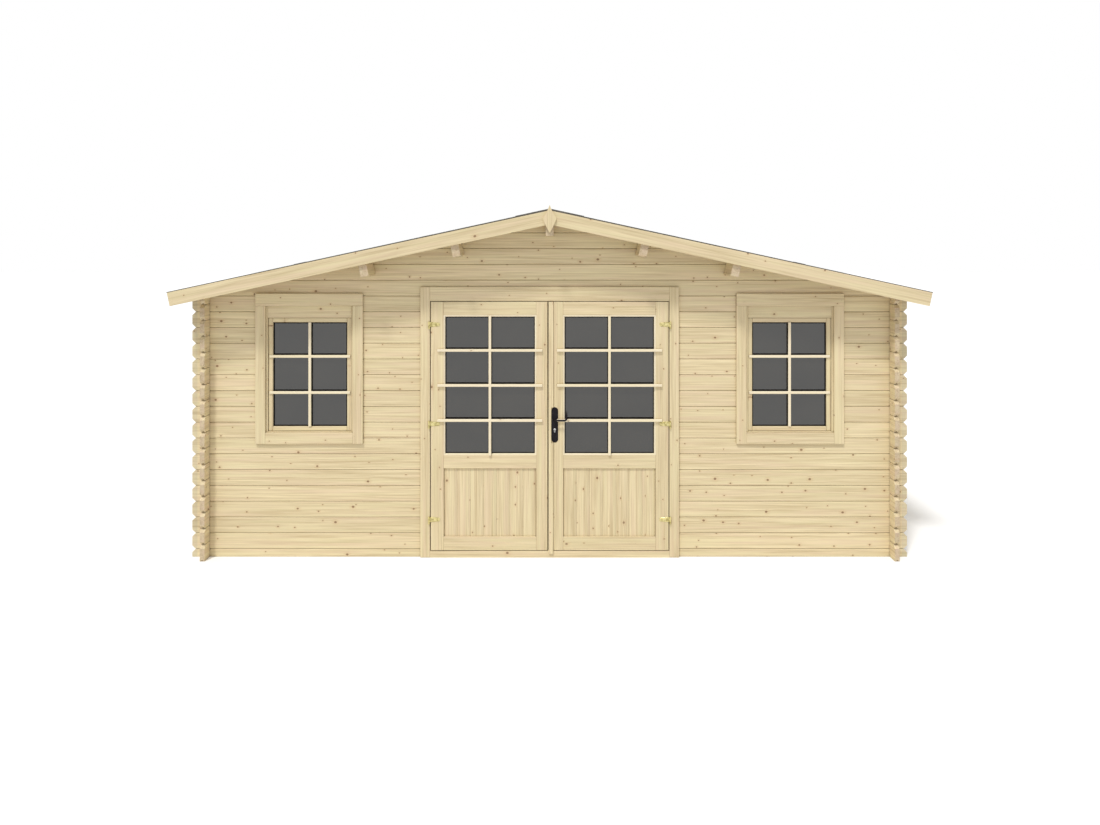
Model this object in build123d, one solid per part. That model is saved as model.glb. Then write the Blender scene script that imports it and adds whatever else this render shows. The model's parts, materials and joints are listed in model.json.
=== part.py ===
"""Garden log cabin with a double half-glazed door and two fixed windows.

Frame: millimetres, +Z up. The origin is on the ground under the middle of the roof,
+X runs to the right along the front wall and the front wall faces -Y.
"""

import os
from math import cos, radians, sin, tan

from build123d import *

os.makedirs("parts", exist_ok=True)

# Logs and walls
LOG_PITCH = 115.0
LOG_THICK = 34.0
LOG_CHAMFER = 4.5
FRONT_LOG_LENGTH = 5200.0
SIDE_LOG_LENGTH = 4200.0
LOG_END_OVERHANG = 92.0
LOG_END_CUT = 25.0
SIDE_COURSES = 17
DOOR_COURSES = 16
WINDOW_SILL_COURSE = 7

# Roof
ROOF_PITCH_DEG = 12.15
DECK_THICK = 18.0
FELT_THICK = 10.0
ROOF_SLOPE_LENGTH = 2730.0
ROOF_FRONT_OVERHANG = 250.0
FELT_EDGE = 6.0
BARGE_DEPTH = 96.0
BARGE_THICK = 19.0
PURLIN_WIDTH = 56.0
PURLIN_DEPTH = 160.0
UPPER_PURLIN_X = 684.0
LOWER_PURLIN_X = 1329.0
EAVES_BOARD_DEPTH = 45.0
EAVES_BOARD_THICK = 19.0
FINIAL_HEIGHT = 195.0
FINIAL_WIDTH = 95.0
FINIAL_THICK = 16.0
FINIAL_RISE = 27.0
FINIAL_SHOULDER = 96.0
FINIAL_BOW = 3.2

# Floor
JOIST_WIDTH = 58.0
JOIST_DEPTH = 30.0
JOIST_COUNT = 9
FLOOR_BOARD_THICK = 18.0

# Door frame and its trims
DOOR_HALF_CLEAR = 869.0
JAMB_THICK = 31.0
FRAME_BACK = 18.0
STOP_DEPTH = 14.0
DOOR_HEAD_THICK = 36.5
TRIM_THICK = 18.0
DOOR_TRIM_WIDTH = 70.0
DOOR_TRIM_HEAD = 102.0
INNER_TRIM_WIDTH = 60.0
MEMBER_JOINT = 0.2

# Door leaves
LEAF_THICK = 42.0
LEAF_SIDE_GAP = 6.0
LEAF_GAP = 5.0
MEETING_GAP = 7.0
STRIP_LEFT = -8.5
STRIP_WIDTH = 36.0
STRIP_PROUD = 12.0
STRIP_FOOT = 22.0
STRIP_FOOT_CLEARANCE = 5.0
STRIP_EDGE_RADIUS = 5.0
HINGE_STILE = 94.0
LEFT_MEETING_STILE = 81.5
RIGHT_MEETING_STILE = 70.5
TOP_RAIL = 98.0
BOTTOM_RAIL = 98.0
MID_RAIL = 96.0
PANEL_HEIGHT = 496.0
PANEL_THICK = 18.0
GLASS_THICK = 6.0
PANE_SETBACK = 18.0

# Hinges
HINGE_HEIGHTS = (269.0, 963.0, 1684.0)
PIN_OFFSET = 5.5
PIN_PROUD = 7.0
PIN_RADIUS = 3.5
PIN_CLEARANCE = 0.1
BARREL_RADIUS = 6.5
BARREL_HEIGHT = 36.0
FRAME_BARREL_HEIGHT = 14.0
BARREL_GAP = 0.5
STRAP_LENGTH = 66.0
STRAP_TIP_HEIGHT = 26.0
STRAP_THICK = 2.5
STEM_WIDTH = 6.0

# Lock and lever
LOCK_PLATE_WIDTH = 49.0
LOCK_PLATE_HEIGHT = 256.0
LOCK_PLATE_THICK = 3.0
PLATE_CLEARANCE = 1.0
LOCK_X = 36.5
LOCK_Z = 1002.0
LOCK_PLATE_BELOW = 167.0
CYLINDER_DROP = 72.0
CYLINDER_RADIUS = 8.5
CYLINDER_TAIL = 16.0
CYLINDER_WIDTH = 10.0
CYLINDER_PROUD = 3.0
LEVER_NECK_RADIUS = 10.0
LEVER_REACH = 92.0
LEVER_STAND = 31.5
LEVER_WIDTH = 13.0
LEVER_TURN_RADIUS = 12.0
LEVER_UPTURN = 38.0
LEVER_KNOB_RADIUS = 8.0
SPINDLE_SIDE = 8.0
SPINDLE_CLEARANCE = 0.6

# Windows
WINDOW_X = 1747.0
WINDOW_ROUGH_WIDTH = 690.0
SETTLING_GAP = 47.5
WINDOW_FRAME_SIDE = 41.0
WINDOW_FRAME_HEAD = 112.0
WINDOW_FRAME_SILL = 50.0
SASH_MEMBER = 33.0
SASH_THICK = 40.0
SASH_SETBACK = 10.0
SASH_GAP = 0.5
WINDOW_TRIM_SIDE = 72.0
WINDOW_TRIM_HEAD = 91.0
WINDOW_TRIM_SILL = 81.0
TRIM_SIDE_LAP = 27.0
TRIM_HEAD_LAP = 25.0
TRIM_SILL_LAP = 42.5

# Sides of the small bars and holes that are made of flats
ROUND_SIDES = 12

# How far a cutting shape runs out past the faces it cuts
OVERRUN = 1.0

# Places worked out from the sizes above
TILT = radians(ROOF_PITCH_DEG)
SIDE_OUT = FRONT_LOG_LENGTH / 2 - LOG_END_OVERHANG
SIDE_IN = SIDE_OUT - LOG_THICK
FRONT_OUT = SIDE_LOG_LENGTH / 2 - LOG_END_OVERHANG
FRONT_IN = FRONT_OUT - LOG_THICK
APEX = SIDE_COURSES * LOG_PITCH + tan(TILT) * (SIDE_OUT - LOG_THICK / 2)
HALF_LOG = LOG_PITCH / 2
QUARTER_LOG = LOG_PITCH / 4
HEAD_JOINT = HALF_LOG + DOOR_COURSES * LOG_PITCH
SILL_JOINT = HALF_LOG + WINDOW_SILL_COURSE * LOG_PITCH
WINDOW_HEAD_TOP = HEAD_JOINT - SETTLING_GAP
DOOR_HEAD_CLEAR = HEAD_JOINT - DOOR_HEAD_THICK
BARGE_FACE = FRONT_OUT + ROOF_FRONT_OVERHANG
DECK_END = BARGE_FACE - BARGE_THICK
TRIM_FACE = FRONT_OUT + TRIM_THICK
FRAME_IN = FRONT_IN - FRAME_BACK
FLOOR_TOP = JOIST_DEPTH + FLOOR_BOARD_THICK
LEAF_BOTTOM = FLOOR_TOP + LEAF_GAP
LEAF_TOP = DOOR_HEAD_CLEAR - LEAF_GAP
LEAF_BACK = TRIM_FACE - LEAF_THICK
STOP_FACE = LEAF_BACK - LEAF_GAP
DOOR_ROUGH = DOOR_HALF_CLEAR + JAMB_THICK
LEAF_EDGE = DOOR_HALF_CLEAR - LEAF_SIDE_GAP
PIN_X = DOOR_HALF_CLEAR + PIN_OFFSET
PIN_Y = -(TRIM_FACE + PIN_PROUD)


def block(x0, x1, y0, y1, z0, z1):
    """A box between two corners."""
    return Pos((x0 + x1) / 2, (y0 + y1) / 2, (z0 + z1) / 2) * Box(x1 - x0, y1 - y0, z1 - z0)


def prism_y(points, y0, y1):
    """A flat outline in X and Z, carried along Y from y0 to y1."""
    outline = Plane.XZ * Polyline(*points, close=True)
    return Pos(0, y0, 0) * extrude(make_face(outline), y1 - y0, dir=(0, 1, 0))


def prism_x(points, x0, x1):
    """A flat outline in Y and Z, carried along X from x0 to x1."""
    outline = Plane.YZ * Polyline(*points, close=True)
    return Pos(x0, 0, 0) * extrude(make_face(outline), x1 - x0, dir=(1, 0, 0))


def faceted(radius):
    """Outline of few sides round a circle of this radius."""
    return RegularPolygon(radius, ROUND_SIDES, major_radius=False)


def faceted_bar(radius, length):
    """An upright bar of few sides."""
    return extrude(faceted(radius), length / 2, both=True)


def cut(body, tools):
    """The body with every tool taken away."""
    return body - Part(children=list(tools)) if tools else body


def mirrored(shape):
    """The shape on the other side of the cabin's middle."""
    return mirror(shape, Plane.YZ)


def turned_round(shape):
    """The shape on the back of the cabin."""
    return mirror(shape, Plane.XZ)


def save(name, *shapes):
    """Writes one node."""
    solids = [solid for shape in shapes for solid in shape.solids()]
    export_step(Compound(label=name, children=solids), f"parts/{name}.step")


def slope_point(along, above):
    """X and Z of a place on the right-hand slope, measured down the slope and square to it."""
    return (along * cos(TILT) + above * sin(TILT), APEX - along * sin(TILT) + above * cos(TILT))


def under_roof(x):
    """Height of the underside of the roof boards."""
    return APEX - abs(x) * tan(TILT)


def slope_slab(above0, above1, end):
    """Outline of a layer of the right-hand slope, cut plumb at the ridge and square at the eaves."""
    ridge0 = (0, APEX + above0 / cos(TILT))
    ridge1 = (0, APEX + above1 / cos(TILT))
    return [ridge0, slope_point(end, above0), slope_point(end, above1), ridge1]


def joints_between(first, low, high):
    """Heights of the joints between courses, from the first one up."""
    count = int((high - first) / LOG_PITCH) + 1
    return [first + i * LOG_PITCH for i in range(count) if low < first + i * LOG_PITCH < high]


def groove_bar(half):
    """A square bar on edge along X, from -half to half, that leaves a V groove where two logs meet."""
    side = LOG_CHAMFER * 2**0.5
    return Rot(45, 0, 0) * Box(2 * half, side, side)


def front_grooves(joints):
    """V grooves along X: over the whole outer face of the front wall, and in the room inside."""
    outer = Pos(0, -FRONT_OUT, 0) * groove_bar(FRONT_LOG_LENGTH)
    inner = Pos(0, -FRONT_IN, 0) * groove_bar(SIDE_IN)
    return [Pos(0, 0, z) * bar for z in joints for bar in (outer, inner)]


def side_grooves(joints):
    """V grooves along Y, over the whole of both faces of the right-hand wall."""
    bar = Rot(0, 0, 90) * groove_bar(SIDE_LOG_LENGTH)
    return [Pos(x, 0, z) * bar for z in joints for x in (SIDE_IN, SIDE_OUT)]


def end_cuts(joints, end, across0, across1, along_x):
    """The mitred corners of the log ends, one V at each joint."""
    tools = []
    for z in joints:
        points = [(end - LOG_END_CUT, z), (end + LOG_PITCH, z - LOG_END_CUT - LOG_PITCH)]
        points.append((end + LOG_PITCH, z + LOG_END_CUT + LOG_PITCH))
        maker = prism_y if along_x else prism_x
        tools.append(maker(points, across0, across1))
    return tools


def front_notches(low, high):
    """Room in the front logs for the middles of the side logs, at the right-hand corner."""
    tools = []
    for course in range(SIDE_COURSES + 1):
        bottom = course * LOG_PITCH + QUARTER_LOG
        if low < bottom + HALF_LOG and bottom < high:
            y0, y1 = -FRONT_OUT - OVERRUN, -FRONT_IN + OVERRUN
            tools.append(block(SIDE_IN, SIDE_OUT, y0, y1, bottom, bottom + HALF_LOG))
    return tools


def side_notches():
    """Room in the side logs for the middles of the front and back logs."""
    tools = []
    for course in range(SIDE_COURSES + 1):
        low = course * LOG_PITCH - QUARTER_LOG
        for y0, y1 in ((-FRONT_OUT, -FRONT_IN), (FRONT_IN, FRONT_OUT)):
            tools.append(block(SIDE_IN - OVERRUN, SIDE_OUT + OVERRUN, y0, y1, low, low + HALF_LOG))
    return tools


def both_ends(tools):
    """Tools for the right-hand corner, and the same for the left-hand one."""
    return tools + [mirrored(tool) for tool in tools]


def roof_space():
    """Everything below the roof boards."""
    far = FRONT_LOG_LENGTH
    points = [(-far, -LOG_PITCH), (far, -LOG_PITCH)]
    points += [(far, under_roof(far)), (0, APEX), (-far, under_roof(far))]
    return prism_y(points, -SIDE_LOG_LENGTH, SIDE_LOG_LENGTH)


def purlin_outline(x):
    """Section of a purlin whose top meets the roof boards at x, set square to the slope."""
    if x == 0:
        half = PURLIN_WIDTH / 2
        low = APEX - PURLIN_DEPTH
        return [(-half, low), (half, low), (half, under_roof(half)), (0, APEX), (-half, under_roof(half))]
    along = x / cos(TILT)
    near, far = along - PURLIN_WIDTH / 2, along + PURLIN_WIDTH / 2
    corners = ((near, -PURLIN_DEPTH), (far, -PURLIN_DEPTH), (far, 0), (near, 0))
    return [slope_point(*corner) for corner in corners]


ridge_purlin = prism_y(purlin_outline(0), -DECK_END, DECK_END)
right_purlins = [prism_y(purlin_outline(x), -DECK_END, DECK_END) for x in (UPPER_PURLIN_X, LOWER_PURLIN_X)]
left_purlins = [mirrored(purlin) for purlin in right_purlins]
all_purlins = [ridge_purlin, *right_purlins, *left_purlins]


def front_courses(x0, x1, z0, z1):
    """A run of front logs between two X and two joints, with its grooves and its corner."""
    body = block(x0, x1, -FRONT_OUT, -FRONT_IN, z0, z1)
    joints = joints_between(HALF_LOG, z0 - OVERRUN, z1 + OVERRUN)
    tools = front_grooves(joints)
    if x1 > SIDE_OUT:
        tools += front_notches(z0, z1)
        tools += end_cuts(joints, x1, -FRONT_OUT - OVERRUN, -FRONT_IN + OVERRUN, True)
    return cut(body, tools)


def gable(z0):
    """Front logs from z0 to the roof, cut to both slopes and round the purlins."""
    end = FRONT_LOG_LENGTH / 2
    points = [(-end, z0), (end, z0), (end, under_roof(end)), (0, APEX), (-end, under_roof(end))]
    body = prism_y(points, -FRONT_OUT, -FRONT_IN)
    joints = joints_between(HALF_LOG, z0 - OVERRUN, APEX)
    tools = front_grooves(joints) + all_purlins
    tools += both_ends(front_notches(z0, APEX))
    tools += both_ends(end_cuts(joints, end, -FRONT_OUT - OVERRUN, -FRONT_IN + OVERRUN, True))
    return cut(body, tools)


def side_wall():
    """The right-hand wall, its logs notched over those of the front and back."""
    end = SIDE_LOG_LENGTH / 2
    body = block(SIDE_IN, SIDE_OUT, -end, end, 0, under_roof(SIDE_IN)) & roof_space()
    joints = joints_between(LOG_PITCH, OVERRUN, under_roof(SIDE_IN) - HALF_LOG)
    tools = side_grooves(joints) + side_notches()
    front_end = end_cuts(joints, end, SIDE_IN - OVERRUN, SIDE_OUT + OVERRUN, False)
    tools += front_end + [turned_round(tool) for tool in front_end]
    return cut(body, tools)


def front_wall():
    """The front wall right of the door: logs under the window, and short ones on each side of it."""
    end = FRONT_LOG_LENGTH / 2
    half = WINDOW_ROUGH_WIDTH / 2
    under = front_courses(DOOR_ROUGH, end, 0, SILL_JOINT - MEMBER_JOINT)
    beside_door = front_courses(DOOR_ROUGH, WINDOW_X - half, SILL_JOINT, HEAD_JOINT)
    beside_corner = front_courses(WINDOW_X + half, end, SILL_JOINT, HEAD_JOINT)
    return [under, beside_door, beside_corner]


right_wall = side_wall()
front_right = front_wall()
save("right_wall", right_wall)
save("left_wall", mirrored(right_wall))
save("front_wall_right", *front_right)
save("front_wall_left", *[mirrored(part) for part in front_right])
save("front_gable", gable(HEAD_JOINT))
save("back_wall", turned_round(gable(0)))
save("ridge_purlin", ridge_purlin)
save("right_purlins", *right_purlins)
save("left_purlins", *left_purlins)


def roof_layers():
    """Boards, covering and eaves board of the right-hand slope."""
    deck = prism_y(slope_slab(0, DECK_THICK, ROOF_SLOPE_LENGTH), -DECK_END, DECK_END)
    felt_top = DECK_THICK + FELT_THICK
    felt = prism_y(slope_slab(DECK_THICK, felt_top, ROOF_SLOPE_LENGTH + FELT_EDGE), -BARGE_FACE, BARGE_FACE)
    start = ROOF_SLOPE_LENGTH - EAVES_BOARD_THICK
    corners = ((start, -EAVES_BOARD_DEPTH), (ROOF_SLOPE_LENGTH, -EAVES_BOARD_DEPTH))
    corners += ((ROOF_SLOPE_LENGTH, 0), (start, 0))
    eaves = prism_y([slope_point(*corner) for corner in corners], -DECK_END, DECK_END)
    return deck, felt, eaves


def barge_board():
    """The right-hand board of the front gable, plumb at the ridge and square at the eaves."""
    outline = slope_slab(DECK_THICK - BARGE_DEPTH, DECK_THICK, ROOF_SLOPE_LENGTH)
    board = prism_y(outline, -BARGE_FACE, -DECK_END)
    joint = block(-OVERRUN, MEMBER_JOINT / 2, -BARGE_FACE - OVERRUN, -DECK_END + OVERRUN, 0, 2 * APEX)
    return board - joint


def finial():
    """The lozenge over the meeting of the barge boards, hollow above its shoulders and full below."""
    top = APEX + (DECK_THICK + FELT_THICK) / cos(TILT) + FINIAL_RISE
    half = FINIAL_WIDTH / 2
    shoulder = top - FINIAL_SHOULDER
    bottom = top - FINIAL_HEIGHT
    upper = ThreePointArc((0, top), (half / 2 - FINIAL_BOW, (top + shoulder) / 2), (half, shoulder))
    lower = ThreePointArc((half, shoulder), (half / 2 + FINIAL_BOW, (shoulder + bottom) / 2), (0, bottom))
    side = Curve(children=[upper, lower])
    other = mirror(side, Plane.YZ)
    face = make_face(Plane.XZ * Curve(children=[*side.edges(), *other.edges()]))
    return Pos(0, -BARGE_FACE, 0) * extrude(face, FINIAL_THICK, dir=(0, -1, 0))


right_deck, right_felt, right_eaves = roof_layers()
front_barge = barge_board()
front_barges = [front_barge, mirrored(front_barge)]
front_finial = finial()
save("roof_deck_right", right_deck)
save("roof_deck_left", mirrored(right_deck))
save("roof_felt_right", right_felt)
save("roof_felt_left", mirrored(right_felt))
save("eaves_board_right", right_eaves)
save("eaves_board_left", mirrored(right_eaves))
save("barge_boards_front", *front_barges)
save("barge_boards_back", *[turned_round(board) for board in front_barges])
save("ridge_finials", front_finial, turned_round(front_finial))


def floor_joists():
    """Joists from front to back, evenly spaced from wall to wall."""
    spacing = (2 * SIDE_IN - JOIST_WIDTH) / (JOIST_COUNT - 1)
    half = JOIST_WIDTH / 2
    places = [i * spacing - SIDE_IN + half for i in range(JOIST_COUNT)]
    front = [-FRAME_IN if abs(x) < DOOR_ROUGH + half else -FRONT_IN for x in places]
    return [block(x - half, x + half, y, FRONT_IN, 0, JOIST_DEPTH) for x, y in zip(places, front)]


def floor_boards():
    """The boarded floor, let back behind the door frame."""
    boards = block(-SIDE_IN, SIDE_IN, -FRONT_IN, FRONT_IN, JOIST_DEPTH, FLOOR_TOP)
    return boards - block(-DOOR_ROUGH, DOOR_ROUGH, -FRONT_IN, -FRAME_IN, 0, FLOOR_TOP + OVERRUN)


save("floor_joists", *floor_joists())
save("floor_boards", floor_boards())


def door_frame():
    """Right-hand jamb with its stop, head with its stop, and threshold."""
    jamb = block(DOOR_HALF_CLEAR, DOOR_ROUGH, -FRONT_OUT, -FRAME_IN, 0, HEAD_JOINT)
    reach = DOOR_HALF_CLEAR - STOP_DEPTH
    stop = block(reach, DOOR_HALF_CLEAR, -STOP_FACE, -FRAME_IN, FLOOR_TOP, DOOR_HEAD_CLEAR)
    head = block(-DOOR_HALF_CLEAR, DOOR_HALF_CLEAR, -FRONT_OUT, -FRAME_IN, DOOR_HEAD_CLEAR, HEAD_JOINT)
    lip = block(-reach, reach, -STOP_FACE, -FRAME_IN, DOOR_HEAD_CLEAR - STOP_DEPTH, DOOR_HEAD_CLEAR)
    threshold = block(-DOOR_HALF_CLEAR, DOOR_HALF_CLEAR, -TRIM_FACE, -FRAME_IN, 0, FLOOR_TOP)
    return jamb + stop, head + lip, threshold


def door_trims(inner, width, low, head, head_depth, y0, y1):
    """Two uprights, and a board between them from the head up, round a doorway 2 x inner wide."""
    top = head + head_depth
    upright = block(inner, inner + width, y0, y1, low, top)
    across = block(-inner + MEMBER_JOINT, inner - MEMBER_JOINT, y0, y1, head, top)
    return [upright, mirrored(upright), across]


right_jamb, door_head, threshold = door_frame()
outer_trim = door_trims(DOOR_HALF_CLEAR, DOOR_TRIM_WIDTH, 0, DOOR_HEAD_CLEAR, DOOR_TRIM_HEAD,
                        -TRIM_FACE, -FRONT_OUT)
inner_trim = door_trims(DOOR_ROUGH, INNER_TRIM_WIDTH, FLOOR_TOP, HEAD_JOINT, INNER_TRIM_WIDTH,
                        -FRONT_IN, -FRAME_IN)
save("door_jambs", right_jamb, mirrored(right_jamb))
save("door_head", door_head)
save("door_threshold", threshold)
save("door_trims", *outer_trim, *inner_trim)


def ring(x, half, low, high, side, head, foot, y0, y1):
    """Four members round an opening: uprights at full height, head and foot between them."""
    left = block(x - half, x - half + side, y0, y1, low, high)
    right = block(x + half - side, x + half, y0, y1, low, high)
    between = half - side - MEMBER_JOINT
    top = block(x - between, x + between, y0, y1, high - head, high)
    bottom = block(x - between, x + between, y0, y1, low, low + foot)
    return [left, right, top, bottom]


def window():
    """The right-hand window: frame, sash, pane, and trims outside and inside."""
    half = WINDOW_ROUGH_WIDTH / 2
    frame = ring(WINDOW_X, half, SILL_JOINT, WINDOW_HEAD_TOP, WINDOW_FRAME_SIDE, WINDOW_FRAME_HEAD,
                 WINDOW_FRAME_SILL, -FRONT_OUT, -FRAME_IN)
    sash_half = half - WINDOW_FRAME_SIDE - SASH_GAP
    sash_low = SILL_JOINT + WINDOW_FRAME_SILL
    sash_high = WINDOW_HEAD_TOP - WINDOW_FRAME_HEAD - SASH_GAP
    front = -FRONT_OUT + SASH_SETBACK
    sash = ring(WINDOW_X, sash_half, sash_low, sash_high, SASH_MEMBER, SASH_MEMBER, SASH_MEMBER,
                front, front + SASH_THICK)
    pane_front = front + (SASH_THICK - GLASS_THICK) / 2
    pane_half = sash_half - SASH_MEMBER
    pane = block(WINDOW_X - pane_half, WINDOW_X + pane_half, pane_front, pane_front + GLASS_THICK,
                 sash_low + SASH_MEMBER, sash_high - SASH_MEMBER)
    low = SILL_JOINT + TRIM_SILL_LAP
    high = WINDOW_HEAD_TOP - TRIM_HEAD_LAP
    outside = window_trims(half - TRIM_SIDE_LAP, low, high, WINDOW_TRIM_SIDE, WINDOW_TRIM_HEAD,
                           WINDOW_TRIM_SILL, -TRIM_FACE, -FRONT_OUT)
    inside = window_trims(half, SILL_JOINT, WINDOW_HEAD_TOP, INNER_TRIM_WIDTH, INNER_TRIM_WIDTH,
                          INNER_TRIM_WIDTH, -FRONT_IN, -FRAME_IN)
    return frame, sash, pane, outside + inside


def window_trims(inner, low, high, side, head, sill, y0, y1):
    """Head board over two uprights, with a sill board between them, round an opening 2 x inner wide."""
    outer = inner + side
    top = block(WINDOW_X - outer, WINDOW_X + outer, y0, y1, high, high + head)
    uprights = []
    for x in (WINDOW_X - outer, WINDOW_X + inner):
        uprights.append(block(x, x + side, y0, y1, low - sill, high - MEMBER_JOINT))
    between = inner - MEMBER_JOINT
    foot = block(WINDOW_X - between, WINDOW_X + between, y0, y1, low - sill, low)
    return [top, *uprights, foot]


frame, sash, pane, trims = window()
for side, place in (("right", lambda shape: shape), ("left", mirrored)):
    save(f"window_{side}_frame", *[place(shape) for shape in frame])
    save(f"window_{side}_sash", *[place(shape) for shape in sash])
    save(f"window_{side}_glass", place(pane))
    save(f"window_{side}_trims", *[place(shape) for shape in trims])


def leaf(hinge_edge, meeting_edge, meeting_stile):
    """A leaf between two X: stiles, rails, pane and panel."""
    direction = 1 if meeting_edge > hinge_edge else -1
    y0, y1 = -TRIM_FACE, -LEAF_BACK
    hinge_inner = hinge_edge + direction * HINGE_STILE
    meeting_inner = meeting_edge - direction * meeting_stile
    stiles = []
    for a, b in ((hinge_edge, hinge_inner), (meeting_inner, meeting_edge)):
        stiles.append(block(min(a, b), max(a, b), y0, y1, LEAF_BOTTOM, LEAF_TOP))
    x0 = min(hinge_inner, meeting_inner)
    x1 = max(hinge_inner, meeting_inner)
    panel_low = LEAF_BOTTOM + BOTTOM_RAIL
    panel_high = panel_low + PANEL_HEIGHT
    pane_low = panel_high + MID_RAIL
    pane_high = LEAF_TOP - TOP_RAIL
    rails = []
    for z0, z1 in ((LEAF_BOTTOM, panel_low), (panel_high, pane_low), (pane_high, LEAF_TOP)):
        rails.append(block(x0 + MEMBER_JOINT, x1 - MEMBER_JOINT, y0, y1, z0, z1))
    pane_y = y0 + PANE_SETBACK
    glass = block(x0, x1, pane_y, pane_y + GLASS_THICK, pane_low, pane_high)
    middle = (y0 + y1) / 2
    panel = block(x0, x1, middle - PANEL_THICK / 2, middle + PANEL_THICK / 2, panel_low, panel_high)
    return stiles + rails, glass, panel


def lever_bore():
    """The hole in which the square spindle turns, through the leaf and both plates."""
    hole = faceted_bar(SPINDLE_SIDE / 2**0.5 + SPINDLE_CLEARANCE, 2 * LEAF_THICK)
    return Pos(LOCK_X, -TRIM_FACE + LEAF_THICK / 2, LOCK_Z) * Rot(90, 0, 0) * hole


def cylinder_outline():
    """Section of the lock cylinder: a plug over a narrow tail."""
    tail = Pos(0, -CYLINDER_TAIL / 2) * Rectangle(CYLINDER_WIDTH, CYLINDER_TAIL)
    foot = Pos(0, -CYLINDER_TAIL) * faceted(CYLINDER_WIDTH / 2)
    return faceted(CYLINDER_RADIUS) + tail + foot


def lock_cylinder():
    """The lock cylinder, through the leaf and both plates."""
    length = LEAF_THICK + 2 * (LOCK_PLATE_THICK + CYLINDER_PROUD)
    front = -TRIM_FACE - LOCK_PLATE_THICK - CYLINDER_PROUD
    body = extrude(Plane.XZ * cylinder_outline(), -length)
    return Pos(LOCK_X, front, LOCK_Z - CYLINDER_DROP) * body


def lock_plate():
    """The long plate on the outside of the leaf, with round ends."""
    middle = LOCK_Z + LOCK_PLATE_HEIGHT / 2 - LOCK_PLATE_BELOW
    outline = SlotOverall(LOCK_PLATE_HEIGHT, LOCK_PLATE_WIDTH, rotation=90)
    return Pos(LOCK_X, -TRIM_FACE, middle) * extrude(Plane.XZ * outline, LOCK_PLATE_THICK)


def lever_arm():
    """The outside lever: a round neck, and a bar whose end turns up to a small round knob."""
    start = -TRIM_FACE - LOCK_PLATE_THICK - BARREL_GAP
    reach = LEVER_REACH - LEVER_KNOB_RADIUS
    line = FilletPolyline((0, 0), (reach, 0), (reach, LEVER_UPTURN), radius=LEVER_TURN_RADIUS)
    hub = Circle(LEVER_NECK_RADIUS)
    bar = trace(line, LEVER_WIDTH) + hub + Pos(reach, LEVER_UPTURN) * Circle(LEVER_KNOB_RADIUS)
    neck = Pos(LOCK_X, start, LOCK_Z) * extrude(Plane.XZ * hub, LEVER_STAND)
    return neck + Pos(LOCK_X, start - LEVER_STAND, LOCK_Z) * extrude(Plane.XZ * bar, LEVER_WIDTH)


def door_lever():
    """Outside and inside levers on one square spindle."""
    outside = lever_arm()
    middle = -TRIM_FACE + LEAF_THICK / 2
    inside = mirror(outside, Plane((0, middle, 0), z_dir=(0, 1, 0)))
    length = LEAF_THICK + 2 * (LOCK_PLATE_THICK + BARREL_GAP)
    spindle = Pos(LOCK_X, middle, LOCK_Z) * Box(SPINDLE_SIDE, length, SPINDLE_SIDE)
    return outside + inside + spindle


def meeting_strip():
    """The strip on the edge of the right-hand leaf, whose foot hangs in front of the threshold."""
    x1 = STRIP_LEFT + STRIP_WIDTH
    face = -TRIM_FACE - STRIP_PROUD
    strip = block(STRIP_LEFT, x1, face, -LEAF_BACK, LEAF_BOTTOM, LEAF_TOP)
    foot_back = -TRIM_FACE - STRIP_FOOT_CLEARANCE
    strip += block(STRIP_LEFT, x1, face, foot_back, LEAF_BOTTOM - STRIP_FOOT, LEAF_BOTTOM)
    front = strip.faces().sort_by(Axis.Y)[0].edges().filter_by(Axis.Z)
    strip = fillet(front, STRIP_EDGE_RADIUS)
    middle = LOCK_Z + LOCK_PLATE_HEIGHT / 2 - LOCK_PLATE_BELOW
    half = LOCK_PLATE_HEIGHT / 2 + PLATE_CLEARANCE
    left = LOCK_X - LOCK_PLATE_WIDTH / 2 - PLATE_CLEARANCE
    return strip - block(left, x1 + OVERRUN, face - OVERRUN, -TRIM_FACE, middle - half, middle + half)


strip_right = STRIP_LEFT + STRIP_WIDTH
left_frame, left_glass, left_panel = leaf(-LEAF_EDGE, STRIP_LEFT - MEETING_GAP, LEFT_MEETING_STILE)
right_frame, right_glass, right_panel = leaf(LEAF_EDGE, strip_right, RIGHT_MEETING_STILE)
cylinder = lock_cylinder()
bored = [member - lever_bore() - cylinder for member in right_frame]
outer_plate = lock_plate()
inner_plate = mirror(outer_plate, Plane((0, -TRIM_FACE + LEAF_THICK / 2, 0), z_dir=(0, 1, 0)))
plates = [plate - lever_bore() - cylinder for plate in (outer_plate, inner_plate)]
save("left_leaf_frame", *left_frame)
save("left_leaf_glass", left_glass)
save("left_leaf_panel", left_panel)
save("right_leaf_frame", *bored)
save("right_leaf_glass", right_glass)
save("right_leaf_panel", right_panel)
save("meeting_strip", meeting_strip() - lever_bore() - cylinder)
save("lock_plates", *plates)
save("lock_cylinder", cylinder)
save("door_lever", door_lever())


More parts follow.
